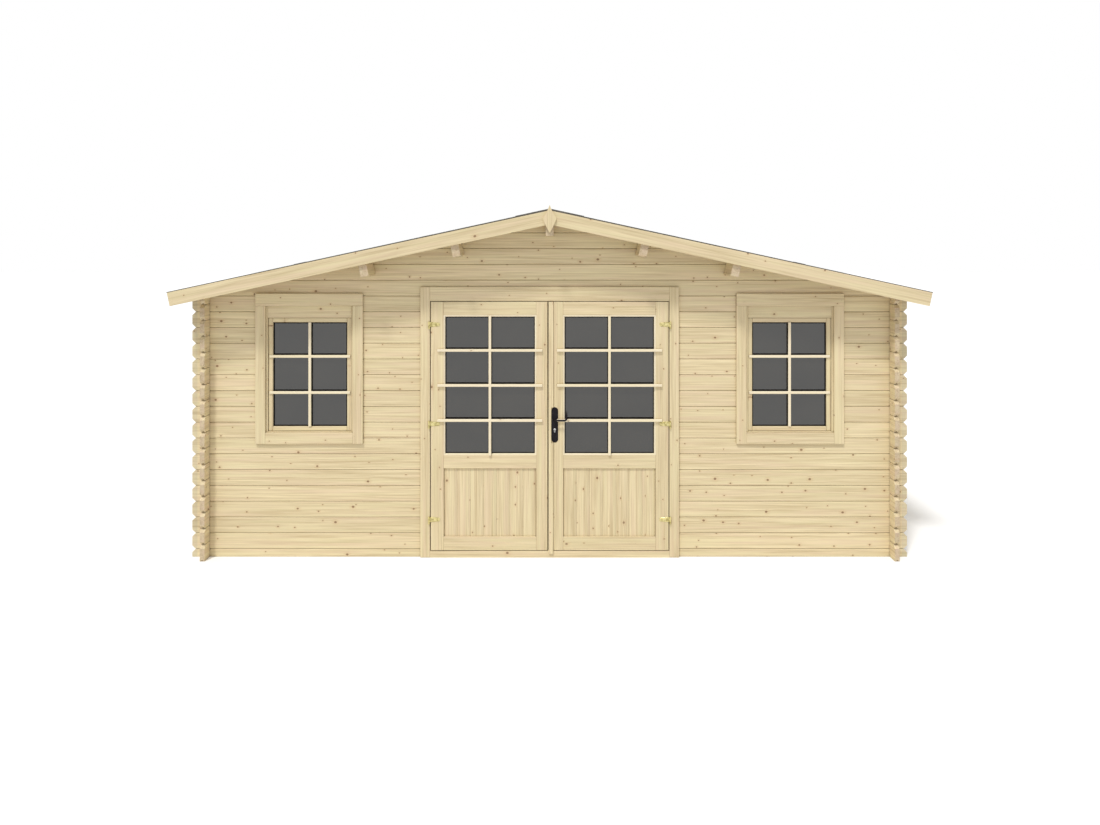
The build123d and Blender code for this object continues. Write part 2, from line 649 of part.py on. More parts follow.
def hinge(z):
    """One lift-off hinge of the right-hand leaf: the frame's pin and barrel, and the leaf's strap."""
    low = z - (BARREL_HEIGHT + FRAME_BARREL_HEIGHT) / 2
    lower = faceted_bar(BARREL_RADIUS, FRAME_BARREL_HEIGHT)
    lower = Pos(PIN_X, PIN_Y, low + FRAME_BARREL_HEIGHT / 2) * lower
    pin_top = low + FRAME_BARREL_HEIGHT + BARREL_HEIGHT
    pin = Pos(PIN_X, PIN_Y, (low + pin_top) / 2) * Cylinder(PIN_RADIUS, pin_top - low)
    stem_z = low + FRAME_BARREL_HEIGHT / 2
    stem = Pos(PIN_X, PIN_Y + PIN_PROUD / 2, stem_z) * Box(STEM_WIDTH, PIN_PROUD, STEM_WIDTH)
    strap_low = low + FRAME_BARREL_HEIGHT + BARREL_GAP
    strap_high = pin_top
    middle = (strap_low + strap_high) / 2
    barrel = faceted_bar(BARREL_RADIUS, strap_high - strap_low)
    barrel = Pos(PIN_X, PIN_Y, middle) * barrel
    back = -TRIM_FACE - BARREL_GAP
    bridge = block(LEAF_EDGE, PIN_X, back - STRAP_THICK, back, strap_low, strap_high)
    half = (strap_high - strap_low) / 2
    tip = LEAF_EDGE - STRAP_LENGTH
    points = [(LEAF_EDGE, middle - half), (LEAF_EDGE, middle + half)]
    points += [(tip, middle + STRAP_TIP_HEIGHT / 2), (tip, middle - STRAP_TIP_HEIGHT / 2)]
    strap = prism_y(points, back - STRAP_THICK, -TRIM_FACE)
    bore = faceted_bar(PIN_RADIUS + PIN_CLEARANCE, 2 * BARREL_HEIGHT)
    bore = Pos(PIN_X, PIN_Y, middle) * bore
    return lower + pin + stem, barrel + bridge + strap - bore


hinges = [hinge(z) for z in HINGE_HEIGHTS]
frame_side = [pair[0] for pair in hinges]
leaf_side = [pair[1] for pair in hinges]
save("right_hinge_pins", *frame_side)
save("right_hinge_straps", *leaf_side)
save("left_hinge_pins", *[mirrored(shape) for shape in frame_side])
save("left_hinge_straps", *[mirrored(shape) for shape in leaf_side])
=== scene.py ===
"""Looks of the garden log cabin: finishes, joinery, roof covering, ironwork and a pale studio.

Lengths are in metres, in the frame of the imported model: +Z up, and the front wall faces -Y.
"""

import json
import logging
import math
from dataclasses import dataclass, field
from enum import Enum
from typing import Sequence, Union

import bmesh
import bpy
import numpy as np
from mathutils import Matrix, Vector


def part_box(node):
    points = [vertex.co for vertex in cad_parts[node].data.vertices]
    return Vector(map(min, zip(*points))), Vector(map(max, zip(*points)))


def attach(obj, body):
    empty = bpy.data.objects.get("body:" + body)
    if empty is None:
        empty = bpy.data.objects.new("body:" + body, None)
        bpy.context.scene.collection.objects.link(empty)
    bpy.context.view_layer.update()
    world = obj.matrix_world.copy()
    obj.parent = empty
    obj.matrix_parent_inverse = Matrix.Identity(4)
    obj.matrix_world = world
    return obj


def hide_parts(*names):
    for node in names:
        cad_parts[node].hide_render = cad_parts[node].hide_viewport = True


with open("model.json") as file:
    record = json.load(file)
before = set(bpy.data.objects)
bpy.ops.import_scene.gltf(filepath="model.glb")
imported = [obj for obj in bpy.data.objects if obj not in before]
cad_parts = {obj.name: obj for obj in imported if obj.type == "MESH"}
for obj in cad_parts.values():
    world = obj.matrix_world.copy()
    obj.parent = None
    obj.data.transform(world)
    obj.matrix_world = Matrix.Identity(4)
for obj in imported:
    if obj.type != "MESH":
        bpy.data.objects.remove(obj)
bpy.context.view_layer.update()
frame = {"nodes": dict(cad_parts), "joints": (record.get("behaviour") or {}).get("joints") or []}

LOG = logging.getLogger("cabin")

Colour = tuple[float, float, float]
Point = tuple[float, float, float]
Socket = bpy.types.NodeSocket
Shape = bmesh.types.BMesh
Vert = bmesh.types.BMVert
Value = Union[float, int, str, Sequence[float], Socket]

ROOF_PITCH = math.radians(12.15)
PITCH_COS, PITCH_SIN = math.cos(ROOF_PITCH), math.sin(ROOF_PITCH)
COURSE = 0.115
DECK_THICK = 0.018
END_GRAIN_START = 0.055
CLEAR_GAP = 0.0004
MERGE = 1e-6

# Edges of turned metal that bend by less are shaded smooth
TURNED_SMOOTH = math.radians(40)

# Purlins and joists are numbered by their X, in steps of 1 / MEMBERS_A_METRE, so each has its own grain
MEMBERS_A_METRE = 1.6
MEMBER_STEP = 3.0

# Turns a row of boards upright: their length goes up, and the row runs to the right
UPRIGHT = tuple(Matrix(((0.0, 1.0, 0.0), (0.0, 0.0, 1.0), (1.0, 0.0, 0.0))).to_euler())


class Graph:
    """A node tree that is written one node at a time."""

    def __init__(self, tree: bpy.types.NodeTree) -> None:
        """Keeps the tree that the nodes go into.

        Args:
            tree: The shader or geometry tree.
        """
        self.tree = tree

    def node(self, kind: str, values: Union[dict, None] = None, **settings: object) -> bpy.types.Node:
        """Adds a node.

        Args:
            kind: Blender's name for the type of node.
            values: What goes into its sockets, by the socket's name or number.
            **settings: The node's own properties.

        Returns:
            The new node.
        """
        made = self.tree.nodes.new(kind)
        for name, value in settings.items():
            setattr(made, name, value)
        for key, value in (values or {}).items():
            self.feed(made.inputs[key], value)
        return made

    def feed(self, socket: Socket, value: Value) -> None:
        """Links a socket to another one, or sets its value."""
        if isinstance(value, Socket):
            self.tree.links.new(value, socket)
        else:
            socket.default_value = value

    def math(self, operation: str, *values: Value) -> Socket:
        """A number worked out from one to three others."""
        return self.node("ShaderNodeMath", dict(enumerate(values)), operation=operation).outputs[0]

    def vector(self, operation: str, *values: Value) -> Socket:
        """A vector worked out from one to three others."""
        made = self.node("ShaderNodeVectorMath", dict(enumerate(values)), operation=operation)
        return made.outputs[0]

    def combine(self, x: Value = 0.0, y: Value = 0.0, z: Value = 0.0) -> Socket:
        """A vector from its three numbers."""
        return self.node("ShaderNodeCombineXYZ", {0: x, 1: y, 2: z}).outputs[0]

    def split(self, vector: Socket) -> list[Socket]:
        """The three numbers of a vector."""
        return list(self.node("ShaderNodeSeparateXYZ", {0: vector}).outputs)

    def ramp(self, value: Value, low: Value, high: Value, start: float = 0.0, end: float = 1.0) -> Socket:
        """A smooth step of a number.

        Args:
            value: The number.
            low: Where the step starts.
            high: Where it ends.
            start: The result up to low.
            end: The result from high.

        Returns:
            The socket that holds the result.
        """
        values = {0: value, 1: low, 2: high, 3: start, 4: end}
        return self.node("ShaderNodeMapRange", values, interpolation_type="SMOOTHSTEP").outputs[0]

    def blend(self, share: Value, a: Value, b: Value, kind: str = "MIX") -> Socket:
        """A colour between two colours.

        Args:
            share: How much of the second one, from 0 to 1.
            a: The first colour.
            b: The second colour.
            kind: Blender's name for the way of blending.

        Returns:
            The socket that holds the result.
        """
        made = self.node("ShaderNodeMix", data_type="RGBA", blend_type=kind)
        self.feed(made.inputs[0], share)
        for index, colour in ((6, a), (7, b)):
            value = colour if isinstance(colour, Socket) else (*colour, 1.0)
            self.feed(made.inputs[index], value)
        return made.outputs[2]

    def noise(self, vector: Value, scale: float, detail: float = 2.0) -> Socket:
        """A noise number from 0 to 1."""
        values = {"Vector": vector, "Scale": scale, "Detail": detail}
        return self.node("ShaderNodeTexNoise", values).outputs[0]

    def here(self) -> Socket:
        """The place of a point on its object."""
        return self.node("ShaderNodeTexCoord").outputs["Object"]

    def bump(self, shader: bpy.types.Node, height: Value, strength: float, depth: float) -> None:
        """Roughens a surface.

        Args:
            shader: The surface's principled shader.
            height: The height of each point, as a share of the depth.
            strength: How much the bump counts, from 0 to 1.
            depth: The depth in metres.
        """
        made = self.node("ShaderNodeBump", {"Strength": strength, "Distance": depth, "Height": height})
        self.feed(shader.inputs["Normal"], made.outputs[0])


def new_material(name: str) -> tuple[bpy.types.Material, Graph, bpy.types.Node]:
    """Starts a material.

    Args:
        name: Its name.

    Returns:
        The material, its graph, and its principled shader, which is already linked to the output.
    """
    made = bpy.data.materials.new(name)
    made.use_nodes = True
    made.node_tree.nodes.clear()
    graph = Graph(made.node_tree)
    shader = graph.node("ShaderNodeBsdfPrincipled")
    graph.node("ShaderNodeOutputMaterial", {"Surface": shader.outputs[0]})
    return made, graph, shader


class Grain(Enum):
    """Which way the grain of a piece runs, or where the piece keeps it."""

    ALONG_X = "x"
    ALONG_Y = "y"
    ALONG_Z = "z"
    DOWN_SLOPE = "slope"
    IN_PIECE = "piece"


@dataclass(frozen=True)
class SpruceFinish:
    """Planed spruce, with growth rings, fibres and knots that go through the wood."""

    name: str
    grain: Grain = Grain.IN_PIECE
    seed: float = 0.0
    pale: Colour = (0.815, 0.690, 0.440)
    deep: Colour = (0.500, 0.385, 0.215)
    rosy: Colour = (0.735, 0.575, 0.390)
    sap: Colour = (0.755, 0.665, 0.400)
    end_tint: Colour = (0.82, 0.79, 0.85)
    past_corner_tint: Colour = (0.88, 0.91, 0.96)
    knot_ring: Colour = (0.58, 0.38, 0.20)
    knot_heart: Colour = (0.22, 0.12, 0.06)
    # Colour of the painted shade in the bottom of the log joints and in the gap over each tongue at the log
    # ends
    joint_shade_colour: Colour = (0.20, 0.14, 0.07)
    # Colour of the painted shade in corners and close to other parts
    painted_shade: Colour = (0.16, 0.11, 0.055)
    tone_spread: float = 0.07
    ring_width: float = 0.0052
    knots: float = 0.6
    knots_a_metre: tuple[float, float] = (7.2, 9.0)
    least_knot: float = 0.038
    knot_spread: float = 0.055
    # Reach of the ambient-occlusion look-up for that painted shade, in metres; 0 paints none
    shade_reach: float = 0.0
    course: float = 0.0
    # Half widths of the painted shade along a joint and over a tongue
    first_joint: float = 0.0
    joint_half: float = 0.0027
    tongue_half: float = 0.0085
    middle: float = 0.0
    corner: float = 0.0
    roughness: float = 0.58

    def place(self, graph: Graph) -> tuple[Socket, Socket, Socket]:
        """Finds where a point lies in its piece of wood.

        Args:
            graph: The material's graph.

        Returns:
            The place along, across and through the wood, the number of the piece, and how far the
            surface faces along the grain, from 0 to 1.
        """
        if self.grain is Grain.IN_PIECE:
            kept = (("grain", "Vector"), ("board", "Fac"), ("end", "Fac"))
            along, board, end = (graph.node("ShaderNodeAttribute", attribute_name=name).outputs[output]
                                 for name, output in kept)
            return along, graph.math("ADD", board, self.seed), end
        coords = graph.node("ShaderNodeTexCoord")
        x, y, z = graph.split(coords.outputs["Object"])
        normal = graph.split(coords.outputs["Normal"])
        number = self.seed
        if self.grain is Grain.ALONG_X:
            order, facing = (x, z, y), normal[0]
        elif self.grain is Grain.ALONG_Y:
            order, facing = (y, z, x), normal[1]
        elif self.grain is Grain.ALONG_Z:
            order, facing = (z, x, y), normal[2]
        else:
            side = graph.math("ABSOLUTE", x)
            down = graph.math("MULTIPLY_ADD", side, PITCH_COS, graph.math("MULTIPLY", z, -PITCH_SIN))
            across = graph.math("MULTIPLY_ADD", side, PITCH_SIN, graph.math("MULTIPLY", z, PITCH_COS))
            order, facing = (down, across, y), normal[0]
            number = graph.math("ADD", self.seed, graph.math("SIGN", x))
        if self.course:
            number = graph.math("ADD", graph.math("FLOOR", self.level(graph, z)), self.seed)
        elif self.grain is Grain.ALONG_Y:
            member = graph.math("ROUND", graph.math("MULTIPLY", x, MEMBERS_A_METRE))
            number = graph.math("MULTIPLY_ADD", member, MEMBER_STEP, self.seed)
        end = graph.ramp(graph.math("ABSOLUTE", facing), 0.55, 0.9)
        return graph.combine(*order), graph.math("ADD", number, 0.0), end

    def level(self, graph: Graph, z: Socket) -> Socket:
        """The height of a point over the lowest joint, counted in courses."""
        return graph.math("DIVIDE", graph.math("SUBTRACT", z, self.first_joint), self.course)

    def knot_marks(self, graph: Graph, place: Socket) -> tuple[Socket, Socket]:
        """Draws the knots.

        Args:
            graph: The material's graph.
            place: The place in the wood.

        Returns:
            The dark heart of a knot and the soft ring round it, each from 0 to 1.
        """
        along, across, _ = graph.split(place)
        rate = self.knots_a_metre
        flat = graph.combine(graph.math("MULTIPLY", along, rate[0]),
                             graph.math("MULTIPLY", across, rate[1]))
        values = {"Vector": flat, "Scale": 1.0}
        cell = graph.node("ShaderNodeTexVoronoi", values, voronoi_dimensions="2D")
        chance, size, _ = graph.split(cell.outputs["Color"])
        there = graph.math("LESS_THAN", chance, self.knots)
        radius = graph.math("MULTIPLY_ADD", graph.math("POWER", size, 3.0), self.knot_spread,
                            self.least_knot)
        edge = graph.math("MULTIPLY_ADD", graph.noise(place, 160.0), 0.02, -0.01)
        distance = graph.math("ADD", cell.outputs["Distance"], edge)
        heart = graph.ramp(distance, radius, graph.math("MULTIPLY", radius, 0.55))
        wide, narrow = graph.math("MULTIPLY", radius, 3.4), graph.math("MULTIPLY", radius, 0.8)
        halo = graph.ramp(distance, wide, narrow)
        return graph.math("MULTIPLY", heart, there), graph.math("MULTIPLY", halo, there)

    def drawn_out(self, graph: Graph, place: Socket, along: float, across: float, detail: float) -> Socket:
        """A noise that is drawn out along the grain, with its scale along and across."""
        return graph.noise(graph.vector("MULTIPLY", place, (along, across, across)), 1.0, detail)

    def rings(self, graph: Graph, grain: Socket, tone: Socket, wave: Socket) -> Socket:
        """Draws the growth rings, about a middle that each piece has in its own place.

        Args:
            graph: The material's graph.
            grain: The place in the piece.
            tone: The piece's own number, from 0 to 1.
            wave: A slow noise that bends the rings.

        Returns:
            1 on the dark line of a ring, and 0 between the lines.
        """
        _, across, through = graph.split(grain)
        aside = graph.math("ADD", across, graph.math("MULTIPLY_ADD", tone, 0.12, -0.06))
        deeper = graph.math("ADD", through, graph.math("MULTIPLY_ADD", tone, -0.05, -0.035))
        squares = graph.math("ADD", graph.math("POWER", aside, 2.0), graph.math("POWER", deeper, 2.0))
        radius = graph.math("MULTIPLY_ADD", wave, 0.035, graph.math("SQRT", squares))
        turn = graph.math("MULTIPLY", radius, 2 * math.pi / self.ring_width)
        return graph.math("POWER", graph.math("MULTIPLY_ADD", graph.math("SINE", turn), 0.5, 0.5), 2.5)

    def clear_wood(self, graph: Graph, place: Socket, tone: Socket, dark: Socket) -> Socket:
        """Colours the wood between its knots, with rosy and sappy patches.

        Args:
            graph: The material's graph.
            place: The place in the wood.
            tone: The piece's own number, from 0 to 1.
            dark: How dark the grain is.

        Returns:
            The colour.
        """
        share_dark = graph.math("MINIMUM", graph.math("MAXIMUM", dark, 0.0), 1.0)
        colour = graph.blend(share_dark, self.pale, self.deep)
        patches = ((self.rosy, (1.3, 26.0, 26.0), 0.50), (self.sap, (1.1, 31.0, 31.0), 0.45))
        for tint, scale, share in patches:
            spot = graph.vector("MULTIPLY_ADD", place, scale, (share, 3.0, share))
            colour = graph.blend(graph.ramp(graph.noise(spot, 1.0), 0.46, 0.66, 0.0, share), colour, tint)
        shade = graph.math("MULTIPLY_ADD", graph.math("SUBTRACT", tone, 0.5), self.tone_spread, 1.0)
        return graph.vector("MULTIPLY", colour, graph.combine(shade, shade, shade))

    def material(self) -> bpy.types.Material:
        """Writes the material.

        Returns:
            The finished material.
        """
        made, graph, shader = new_material(self.name)
        grain, number, end = self.place(graph)
        chance = graph.node("ShaderNodeTexWhiteNoise", {"W": number}, noise_dimensions="1D")
        tone = chance.outputs["Value"]
        shift = graph.vector("MULTIPLY", chance.outputs["Color"], (11.0, 5.0, 7.0))
        place = graph.vector("ADD", grain, shift)
        heart, halo = self.knot_marks(graph, place)
        bent = graph.vector("ADD", place, graph.combine(0.0, graph.math("MULTIPLY", halo, 0.006), 0.0))
        streak = self.drawn_out(graph, bent, 0.9, 34.0, 4.0)
        band = self.drawn_out(graph, bent, 2.4, 105.0, 3.0)
        fibre = self.drawn_out(graph, bent, 6.0, 330.0, 3.0)
        ring = self.rings(graph, grain, tone, self.drawn_out(graph, place, 0.7, 7.0, 2.0))
        dark = graph.math("MULTIPLY", graph.ramp(streak, 0.32, 0.68), 0.30)
        dark = graph.math("MULTIPLY_ADD", graph.ramp(band, 0.34, 0.66), 0.42, dark)
        dark = graph.math("MULTIPLY_ADD", graph.math("SUBTRACT", fibre, 0.5), 0.5, dark)
        dark = graph.math("MULTIPLY_ADD", ring, graph.math("MULTIPLY_ADD", end, 0.22, 0.14), dark)
        colour = self.clear_wood(graph, place, tone, dark)
        colour = graph.blend(end, colour, self.end_tint, "MULTIPLY")
        colour = graph.blend(graph.math("MULTIPLY", halo, 0.26), colour, self.knot_ring)
        colour = graph.blend(graph.math("MULTIPLY", heart, 0.85), colour, self.knot_heart)
        if self.course and self.grain is Grain.ALONG_X:
            colour = graph.blend(self.past_corner(graph), colour, self.past_corner_tint, "MULTIPLY")
        # Painted shade in the bottom of the log joints and over the tongues at the log ends
        if self.course:
            colour = graph.blend(self.joint_shade(graph), colour, self.joint_shade_colour)
        # Painted shade: darker where an ambient-occlusion look-up finds other surfaces close by, in corners
        # and where parts meet
        if self.shade_reach:
            near = graph.node("ShaderNodeAmbientOcclusion", {"Distance": self.shade_reach}, samples=6)
            shade = graph.ramp(near.outputs["AO"], 0.28, 0.78, 0.55, 0.0)
            colour = graph.blend(shade, colour, self.painted_shade)
        graph.feed(shader.inputs["Base Color"], colour)
        rough = graph.math("MULTIPLY_ADD", fibre, 0.12, self.roughness - 0.06)
        graph.feed(shader.inputs["Roughness"], rough)
        shader.inputs["Specular IOR Level"].default_value = 0.28
        graph.bump(shader, graph.math("MULTIPLY_ADD", ring, 0.35, fibre), 0.28, 0.0012)
        return made

    def past_corner(self, graph: Graph) -> Socket:
        """1 on the ends of the front and back logs, past the corner, and 0 elsewhere."""
        x, _, _ = graph.split(graph.here())
        return graph.math("GREATER_THAN", graph.math("ABSOLUTE", x), self.corner)

    def joint_shade(self, graph: Graph) -> Socket:
        """Paints shade into the bottom of the groove where two logs meet, and the shade of the uncut gap
        over the tongue at their ends.

        Args:
            graph: The material's graph.

        Returns:
            How dark it is, from 0 to 1.
        """
        x, y, z = graph.split(graph.here())
        across, along = (y, x) if self.grain is Grain.ALONG_X else (x, y)
        level = self.level(graph, z)
        off = graph.math("ABSOLUTE", graph.math("SUBTRACT", level, graph.math("ROUND", level)))
        # Painted shade in the bottom of the groove
        joint = graph.ramp(graph.math("MULTIPLY", off, self.course), self.joint_half, 0.0007, 0.0, 0.56)
        # Painted shade of the gap over the tongue at the log ends, a small triangle past the corner; no
        # hole is cut there
        above = graph.math("MULTIPLY", graph.math("FRACT", level), self.course)
        aside = graph.math("ABSOLUTE", graph.math("SUBTRACT", graph.math("ABSOLUTE", across), self.middle))
        inside = graph.math("SUBTRACT", self.tongue_half, graph.math("MULTIPLY_ADD", above, 0.65, aside))
        past = graph.math("GREATER_THAN", graph.math("ABSOLUTE", along), self.corner)
        gap = graph.math("MULTIPLY", graph.ramp(inside, 0.0, 0.0006, 0.0, 0.9), past)
        return graph.math("MAXIMUM", joint, gap)


@dataclass(frozen=True)
class FeltFinish:
    """Roofing felt with a coat of fine slate."""

    name: str
    base: Colour = (0.082, 0.074, 0.060)
    fleck: Colour = (0.25, 0.235, 0.205)
    grit_scale: float = 420.0
    roughness: float = 0.93

    def material(self) -> bpy.types.Material:
        """Writes the material: dark sheet, paler flecks, and a coarse bump."""
        made, graph, shader = new_material(self.name)
        place = graph.here()
        grit = graph.node("ShaderNodeTexVoronoi", {"Vector": place, "Scale": self.grit_scale})
        bright, _, _ = graph.split(grit.outputs["Color"])
        patch = graph.noise(place, 2.2, 3.0)
        spread = graph.ramp(patch, 0.2, 0.8, 0.55, 1.0)
        flecks = graph.math("MULTIPLY", graph.ramp(bright, 0.55, 1.0), spread)
        graph.feed(shader.inputs["Base Color"], graph.blend(flecks, self.base, self.fleck))
        shader.inputs["Roughness"].default_value = self.roughness
        shader.inputs["Specular IOR Level"].default_value = 0.2
        graph.bump(shader, graph.math("MULTIPLY_ADD", patch, 0.6, grit.outputs["Distance"]), 0.5, 0.0008)
        return made


@dataclass(frozen=True)
class MetalFinish:
    """Plated, brushed or powder-coated metal."""

    name: str
    base: Colour
    dull: Colour
    metallic: float
    roughness: float
    patch_scale: float = 55.0
    grain_scale: float = 960.0
    bump: float = 0.08
    gloss: float = 0.5

    def material(self) -> bpy.types.Material:
        """Writes the material: a base colour with duller patches and a fine uneven coat."""
        made, graph, shader = new_material(self.name)
        place = graph.here()
        patch = graph.noise(place, self.patch_scale, 3.0)
        worn = graph.ramp(patch, 0.35, 0.75)
        graph.feed(shader.inputs["Base Color"], graph.blend(worn, self.base, self.dull))
        shader.inputs["Metallic"].default_value = self.metallic
        shader.inputs["Specular IOR Level"].default_value = self.gloss
        rough = graph.math("MULTIPLY_ADD", patch, 0.16, self.roughness - 0.08)
        graph.feed(shader.inputs["Roughness"], rough)
        graph.bump(shader, graph.noise(place, self.grain_scale), self.bump, 0.0004)
        return made


@dataclass(frozen=True)
class PaneFinish:
    """Float glass before a dark room: its grey is what it mirrors of the pale surroundings."""

    name: str
    tint: Colour = (0.011, 0.010, 0.007)
    haze: Colour = (0.019, 0.017, 0.012)
    haze_scale: float = 3.1
    roughness: float = 0.22
    mirror: float = 1.98
    opacity: float = 0.95

    def material(self) -> bpy.types.Material:
        """Writes the material: a smooth grey pane, with a faint haze of dust."""
        made, graph, shader = new_material(self.name)
        dust = graph.ramp(graph.noise(graph.here(), self.haze_scale, 3.0), 0.3, 0.7)
        graph.feed(shader.inputs["Base Color"], graph.blend(dust, self.tint, self.haze))
        graph.feed(shader.inputs["Roughness"], graph.math("MULTIPLY_ADD", dust, 0.03, self.roughness))
        shader.inputs["IOR"].default_value = self.mirror
        shader.inputs["Alpha"].default_value = self.opacity
        return made


Finish = Union[SpruceFinish, FeltFinish, MetalFinish, PaneFinish]


def log_finish(name: str, along_x: bool, seed: float) -> SpruceFinish:
    """The finish of a wall of logs.

    Args:
        name: The material's name.
        along_x: Whether the logs run from side to side.
        seed: The number of its lowest log.

    Returns:
        The finish, with the painted shade of its joints and of the gaps at the log ends in their places,
        and painted shade where parts meet.
    """
    side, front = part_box("right_wall"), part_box("front_wall_right")
    front_middle, side_middle = -(front[0].y + front[1].y) / 2, (side[0].x + side[1].x) / 2
    if along_x:
        return SpruceFinish(name, Grain.ALONG_X, seed, course=COURSE, first_joint=COURSE / 2,
                            middle=front_middle, corner=side[1].x + END_GRAIN_START, shade_reach=0.022)
    return SpruceFinish(name, Grain.ALONG_Y, seed, course=COURSE, middle=side_middle,
                        corner=-front[0].y + END_GRAIN_START, shade_reach=0.022)


LOG_FINISHES = {
    "front_wall_left": log_finish("log_front_left", True, 3.0),
    "front_wall_right": log_finish("log_front_right", True, 43.0),
    "front_gable": log_finish("log_gable", True, 85.0),
    "back_wall": log_finish("log_back", True, 131.0),
    "left_wall": log_finish("log_left", False, 171.0),
    "right_wall": log_finish("log_right", False, 215.0),
}
# Planed boards and panel boards get painted shade in their corners and close to other parts
BOARD_WOOD = SpruceFinish("planed_boards", pale=(0.797, 0.674, 0.430), knots=0.42, tone_spread=0.06,
                          shade_reach=0.015)
BEAD_WOOD = SpruceFinish("glazing_beads", seed=7.0, pale=(0.88, 0.79, 0.60), deep=(0.76, 0.64, 0.44),
                         rosy=(0.84, 0.72, 0.53), knots=0.03, tone_spread=0.04)
PANEL_WOOD = SpruceFinish("panel_boards", seed=19.0, knots=0.7, tone_spread=0.03, shade_reach=0.012)
ROOF_WOOD = SpruceFinish("roof_boards", seed=29.0, pale=(0.78, 0.655, 0.42))
FLOOR_WOOD = SpruceFinish("floor_boarding", seed=37.0, pale=(0.77, 0.645, 0.41))
FELT = FeltFinish("roofing_felt")
BRASS = MetalFinish("plated_hinge", (0.84, 0.74, 0.36), (0.40, 0.33, 0.12), 0.9, 0.28)
BLACK = MetalFinish("black_coat", (0.008, 0.006, 0.008), (0.015, 0.012, 0.015), 0.0, 0.55,
                    bump=0.2, gloss=0.15)
# Black spacer bars, which also stand in as painted shade and reflection lines beside the glazing bars and
# round the panes
SPACER_AND_SHADE = MetalFinish("glazing_spacer_and_shade", (0.006, 0.005, 0.004), (0.009, 0.007, 0.005), 0.0, 0.80, gloss=0.06)
STEEL = MetalFinish("satin_steel", (0.66, 0.66, 0.66), (0.5, 0.5, 0.5), 1.0, 0.30)
NAIL = MetalFinish("felt_nail", (0.55, 0.56, 0.57), (0.40, 0.40, 0.40), 1.0, 0.42)
GLASS = PaneFinish("pane")

PLAIN_NODES = {
    "ridge_purlin": SpruceFinish("purlin_ridge", Grain.ALONG_Y, 251.0),
    "left_purlins": SpruceFinish("purlin_left", Grain.ALONG_Y, 263.0),
    "right_purlins": SpruceFinish("purlin_right", Grain.ALONG_Y, 277.0),
    "barge_boards_front": SpruceFinish("barge_front", Grain.DOWN_SLOPE, 301.0, knots=0.24),
    "barge_boards_back": SpruceFinish("barge_back", Grain.DOWN_SLOPE, 311.0, knots=0.24),
    "eaves_board_left": SpruceFinish("eaves_left", Grain.ALONG_Y, 331.0, knots=0.3),
    "eaves_board_right": SpruceFinish("eaves_right", Grain.ALONG_Y, 347.0, knots=0.3),
    "floor_joists": SpruceFinish("joists", Grain.ALONG_Y, 361.0),
    "door_jambs": SpruceFinish("jambs", Grain.ALONG_Z, 373.0, knots=0.3),
    "door_head": SpruceFinish("head", Grain.ALONG_X, 389.0, knots=0.3),
    "door_threshold": SpruceFinish("threshold", Grain.ALONG_X, 401.0, knots=0.3, pale=(0.80, 0.67, 0.43)),
    "meeting_strip": SpruceFinish("meeting_strip", Grain.ALONG_Z, 419.0, knots=0.2),
}


class Paints:
    """Makes each finish's material once."""

    def __init__(self) -> None:
        """Starts with no material made."""
        self.made: dict[str, bpy.types.Material] = {}

    def get(self, finish: Finish) -> bpy.types.Material:
        """The material of a finish."""
        if finish.name not in self.made:
            self.made[finish.name] = finish.material()
        return self.made[finish.name]


PAINTS = Paints()


def solids(node: str) -> list[tuple[Vector, Vector]]:
    """Finds the solids of a CAD node.

    Args:
        node: The node's name.

    Returns:
        The lowest and highest corner of each solid, from left to right, then upwards.
    """
    mesh = frame["nodes"][node].data
    copy = bmesh.new()
    copy.from_mesh(mesh)
    bmesh.ops.remove_doubles(copy, verts=copy.verts, dist=MERGE)
    left, found = set(copy.verts), []
    while left:
        group, edge = set(), [left.pop()]
        while edge:
            vert = edge.pop()
            group.add(vert)
            near = [e.other_vert(vert) for e in vert.link_edges]
            fresh = [v for v in near if v in left]
            left.difference_update(fresh)
            edge.extend(fresh)
        places = np.array([v.co[:] for v in group])
        found.append((Vector(places.min(0)), Vector(places.max(0))))
    copy.free()
    return sorted(found, key=lambda pair: (round(pair[0].x, 4), round(pair[0].z, 4), round(pair[0].y, 4)))


def skin(shape: Shape, rows: Sequence[Sequence[Vert]], caps: bool = True) -> None:
    """Spans faces from each ring of corners to the next.

    Args:
        shape: The shape that the corners belong to.
        rows: The rings, with as many corners each.
        caps: Whether the first and the last ring are closed too.
    """
    for low, high in zip(rows, rows[1:]):
        for i in range(len(low)):
            j = (i + 1) % len(low)
            shape.faces.new((low[i], low[j], high[j], high[i]))
    if caps:
        shape.faces.new(rows[0])
        shape.faces.new(rows[-1])


